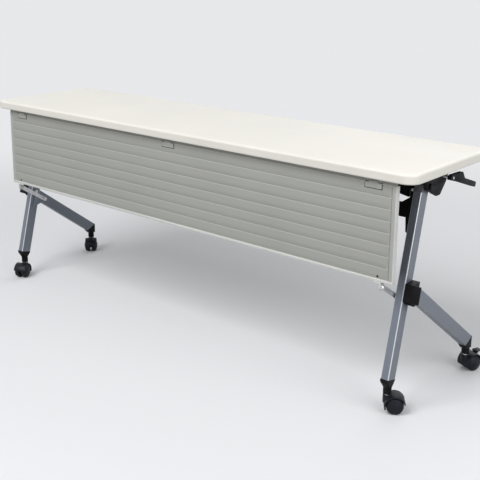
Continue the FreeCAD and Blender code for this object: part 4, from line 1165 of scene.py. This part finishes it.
class TABLE_OT_stage(bpy.types.Operator):
    """Set up the floor, the lamps and the camera"""

    bl_idname = "table.set_stage"
    bl_label = "Stage"

    def execute(self, context):
        settings = context.scene.table_stage
        build_floor(settings)
        build_sky(settings)
        add_lamp("Key lamp", place=(-0.4, -3.6, 4.3), power=settings.key, size=3.0)
        add_lamp("Side lamp", place=(3.4, -0.6, 1.6), power=settings.side, size=2.5)
        add_lamp("Rear lamp", place=(-0.5, 3.5, 3.2), power=settings.rear, size=3.0)
        set_camera(settings)
        context.scene.view_settings.view_transform = "Standard"
        return {"FINISHED"}


def seen_rays(tree):
    """One for rays from the camera and for mirrored or passed-through ones, else zero."""
    path = tree.nodes.new("ShaderNodeLightPath")
    first = add_node(tree, "ShaderNodeMath", operation="MAXIMUM")
    both = add_node(tree, "ShaderNodeMath", operation="MAXIMUM")
    tree.links.new(path.outputs["Is Camera Ray"], first.inputs[0])
    tree.links.new(path.outputs["Is Glossy Ray"], first.inputs[1])
    tree.links.new(first.outputs[0], both.inputs[0])
    tree.links.new(path.outputs["Is Transmission Ray"], both.inputs[1])
    return both.outputs[0]


def build_floor(settings):
    """A wide plain pale floor that keeps the table's shadow and fades into the backdrop far away."""
    mesh = bpy.data.meshes.new("floor")
    reach = settings.floor_reach
    corners = [(-reach, -reach, 0), (reach, -reach, 0), (reach, reach, 0), (-reach, reach, 0)]
    mesh.from_pydata(corners, [], [(0, 1, 2, 3)])
    floor = linked_object("floor", mesh)
    material = bpy.data.materials.new("Pale floor")
    material.use_nodes = True
    tree = material.node_tree
    tree.nodes.clear()
    near = tree.nodes.new("ShaderNodeBsdfDiffuse")
    near.inputs["Color"].default_value = rgba(settings.pale)
    dim = tree.nodes.new("ShaderNodeBsdfDiffuse")
    dim.inputs["Color"].default_value = rgba(settings.pale, settings.bounce)
    far = tree.nodes.new("ShaderNodeEmission")
    far.inputs["Color"].default_value = rgba(settings.pale)
    place = tree.nodes.new("ShaderNodeTexCoord")
    length = add_node(tree, "ShaderNodeVectorMath", operation="LENGTH")
    fade = add_node(tree, "ShaderNodeMapRange", interpolation_type="SMOOTHSTEP")
    fade.inputs["From Min"].default_value = settings.fade_start
    fade.inputs["From Max"].default_value = settings.fade_end
    reaches = tree.nodes.new("ShaderNodeMixShader")
    sight = tree.nodes.new("ShaderNodeMixShader")
    end = tree.nodes.new("ShaderNodeOutputMaterial")
    link = tree.links.new
    link(place.outputs["Object"], length.inputs[0])
    link(length.outputs["Value"], fade.inputs["Value"])
    link(fade.outputs["Result"], reaches.inputs["Fac"])
    link(near.outputs["BSDF"], reaches.inputs[1])
    link(far.outputs["Emission"], reaches.inputs[2])
    link(seen_rays(tree), sight.inputs["Fac"])
    link(dim.outputs["BSDF"], sight.inputs[1])
    link(reaches.outputs["Shader"], sight.inputs[2])
    link(sight.outputs["Shader"], end.inputs["Surface"])
    mesh.materials.append(material)


def build_sky(settings):
    """Even light all round, pale to the camera and in reflections."""
    world = bpy.data.worlds.new("Studio")
    bpy.context.scene.world = world
    world.use_nodes = True
    tree = world.node_tree
    tree.nodes.clear()
    even = tree.nodes.new("ShaderNodeBackground")
    even.inputs["Color"].default_value = (0.98, 0.99, 1, 1)
    even.inputs["Strength"].default_value = settings.sky
    pale = tree.nodes.new("ShaderNodeBackground")
    pale.inputs["Color"].default_value = rgba(settings.pale)
    pale.inputs["Strength"].default_value = 1
    mix = tree.nodes.new("ShaderNodeMixShader")
    end = tree.nodes.new("ShaderNodeOutputWorld")
    tree.links.new(seen_rays(tree), mix.inputs["Fac"])
    tree.links.new(even.outputs["Background"], mix.inputs[1])
    tree.links.new(pale.outputs["Background"], mix.inputs[2])
    tree.links.new(mix.outputs["Shader"], end.inputs["Surface"])


def add_lamp(name, place, power, size):
    """A soft square lamp that points at the table's middle."""
    aim = Vector((0, 0, 0.4))
    light = bpy.data.lights.new(name, "AREA")
    light.energy = power
    light.size = size
    lamp = bpy.data.objects.new(name, light)
    lamp.location = place
    lamp.rotation_euler = (aim - Vector(place)).to_track_quat("-Z", "Y").to_euler()
    bpy.context.scene.collection.objects.link(lamp)


def set_camera(settings):
    """The camera at the photograph's angle."""
    data = bpy.data.cameras.new("Camera")
    data.lens = settings.lens
    data.sensor_width = 36
    data.shift_y = settings.shift
    camera = bpy.data.objects.new("Camera", data)
    turn = Matrix.Rotation(-settings.heading, 4, "Z")
    tilt = Matrix.Rotation(math.pi / 2 - settings.dip, 4, "X")
    roll = Matrix.Rotation(settings.roll, 4, "Z")
    camera.matrix_world = Matrix.Translation(settings.place) @ turn @ tilt @ roll
    bpy.context.scene.collection.objects.link(camera)
    bpy.context.scene.camera = camera


# The sidebar panel and registration

BUILD_OPERATORS = (
    TABLE_OT_top,
    TABLE_OT_end_frames,
    TABLE_OT_beam,
    TABLE_OT_panel,
    TABLE_OT_hinges,
    TABLE_OT_lock,
    TABLE_OT_links,
    TABLE_OT_fasteners,
    TABLE_OT_casters,
    TABLE_OT_stage,
)


class TABLE_PT_sidebar(bpy.types.Panel):
    """Lists the table's build steps in the sidebar."""

    bl_idname = "TABLE_PT_sidebar"
    bl_label = "Stacking table"
    bl_space_type = "VIEW_3D"
    bl_region_type = "UI"
    bl_category = "Table"

    def draw(self, context):
        for operator in BUILD_OPERATORS:
            self.layout.operator(operator.bl_idname)


SETTINGS = {
    "table_surfaces": SurfaceSettings,
    "table_panel": PanelSettings,
    "table_stage": StageSettings,
}


def register():
    """Registers the settings, the build steps and the sidebar panel."""
    for group in SETTINGS.values():
        bpy.utils.register_class(group)
    for name, group in SETTINGS.items():
        setattr(bpy.types.Scene, name, bpy.props.PointerProperty(type=group))
    for item in (*BUILD_OPERATORS, TABLE_PT_sidebar):
        bpy.utils.register_class(item)


def unregister():
    """Takes everything back that register added."""
    for item in (TABLE_PT_sidebar, *reversed(BUILD_OPERATORS)):
        bpy.utils.unregister_class(item)
    for name in SETTINGS:
        delattr(bpy.types.Scene, name)
    for group in SETTINGS.values():
        bpy.utils.unregister_class(group)


def main():
    """Builds the whole table."""
    register()
    for operator in BUILD_OPERATORS:
        group, action = operator.bl_idname.split(".")
        getattr(getattr(bpy.ops, group), action)()


if __name__ == "__main__":
    main()
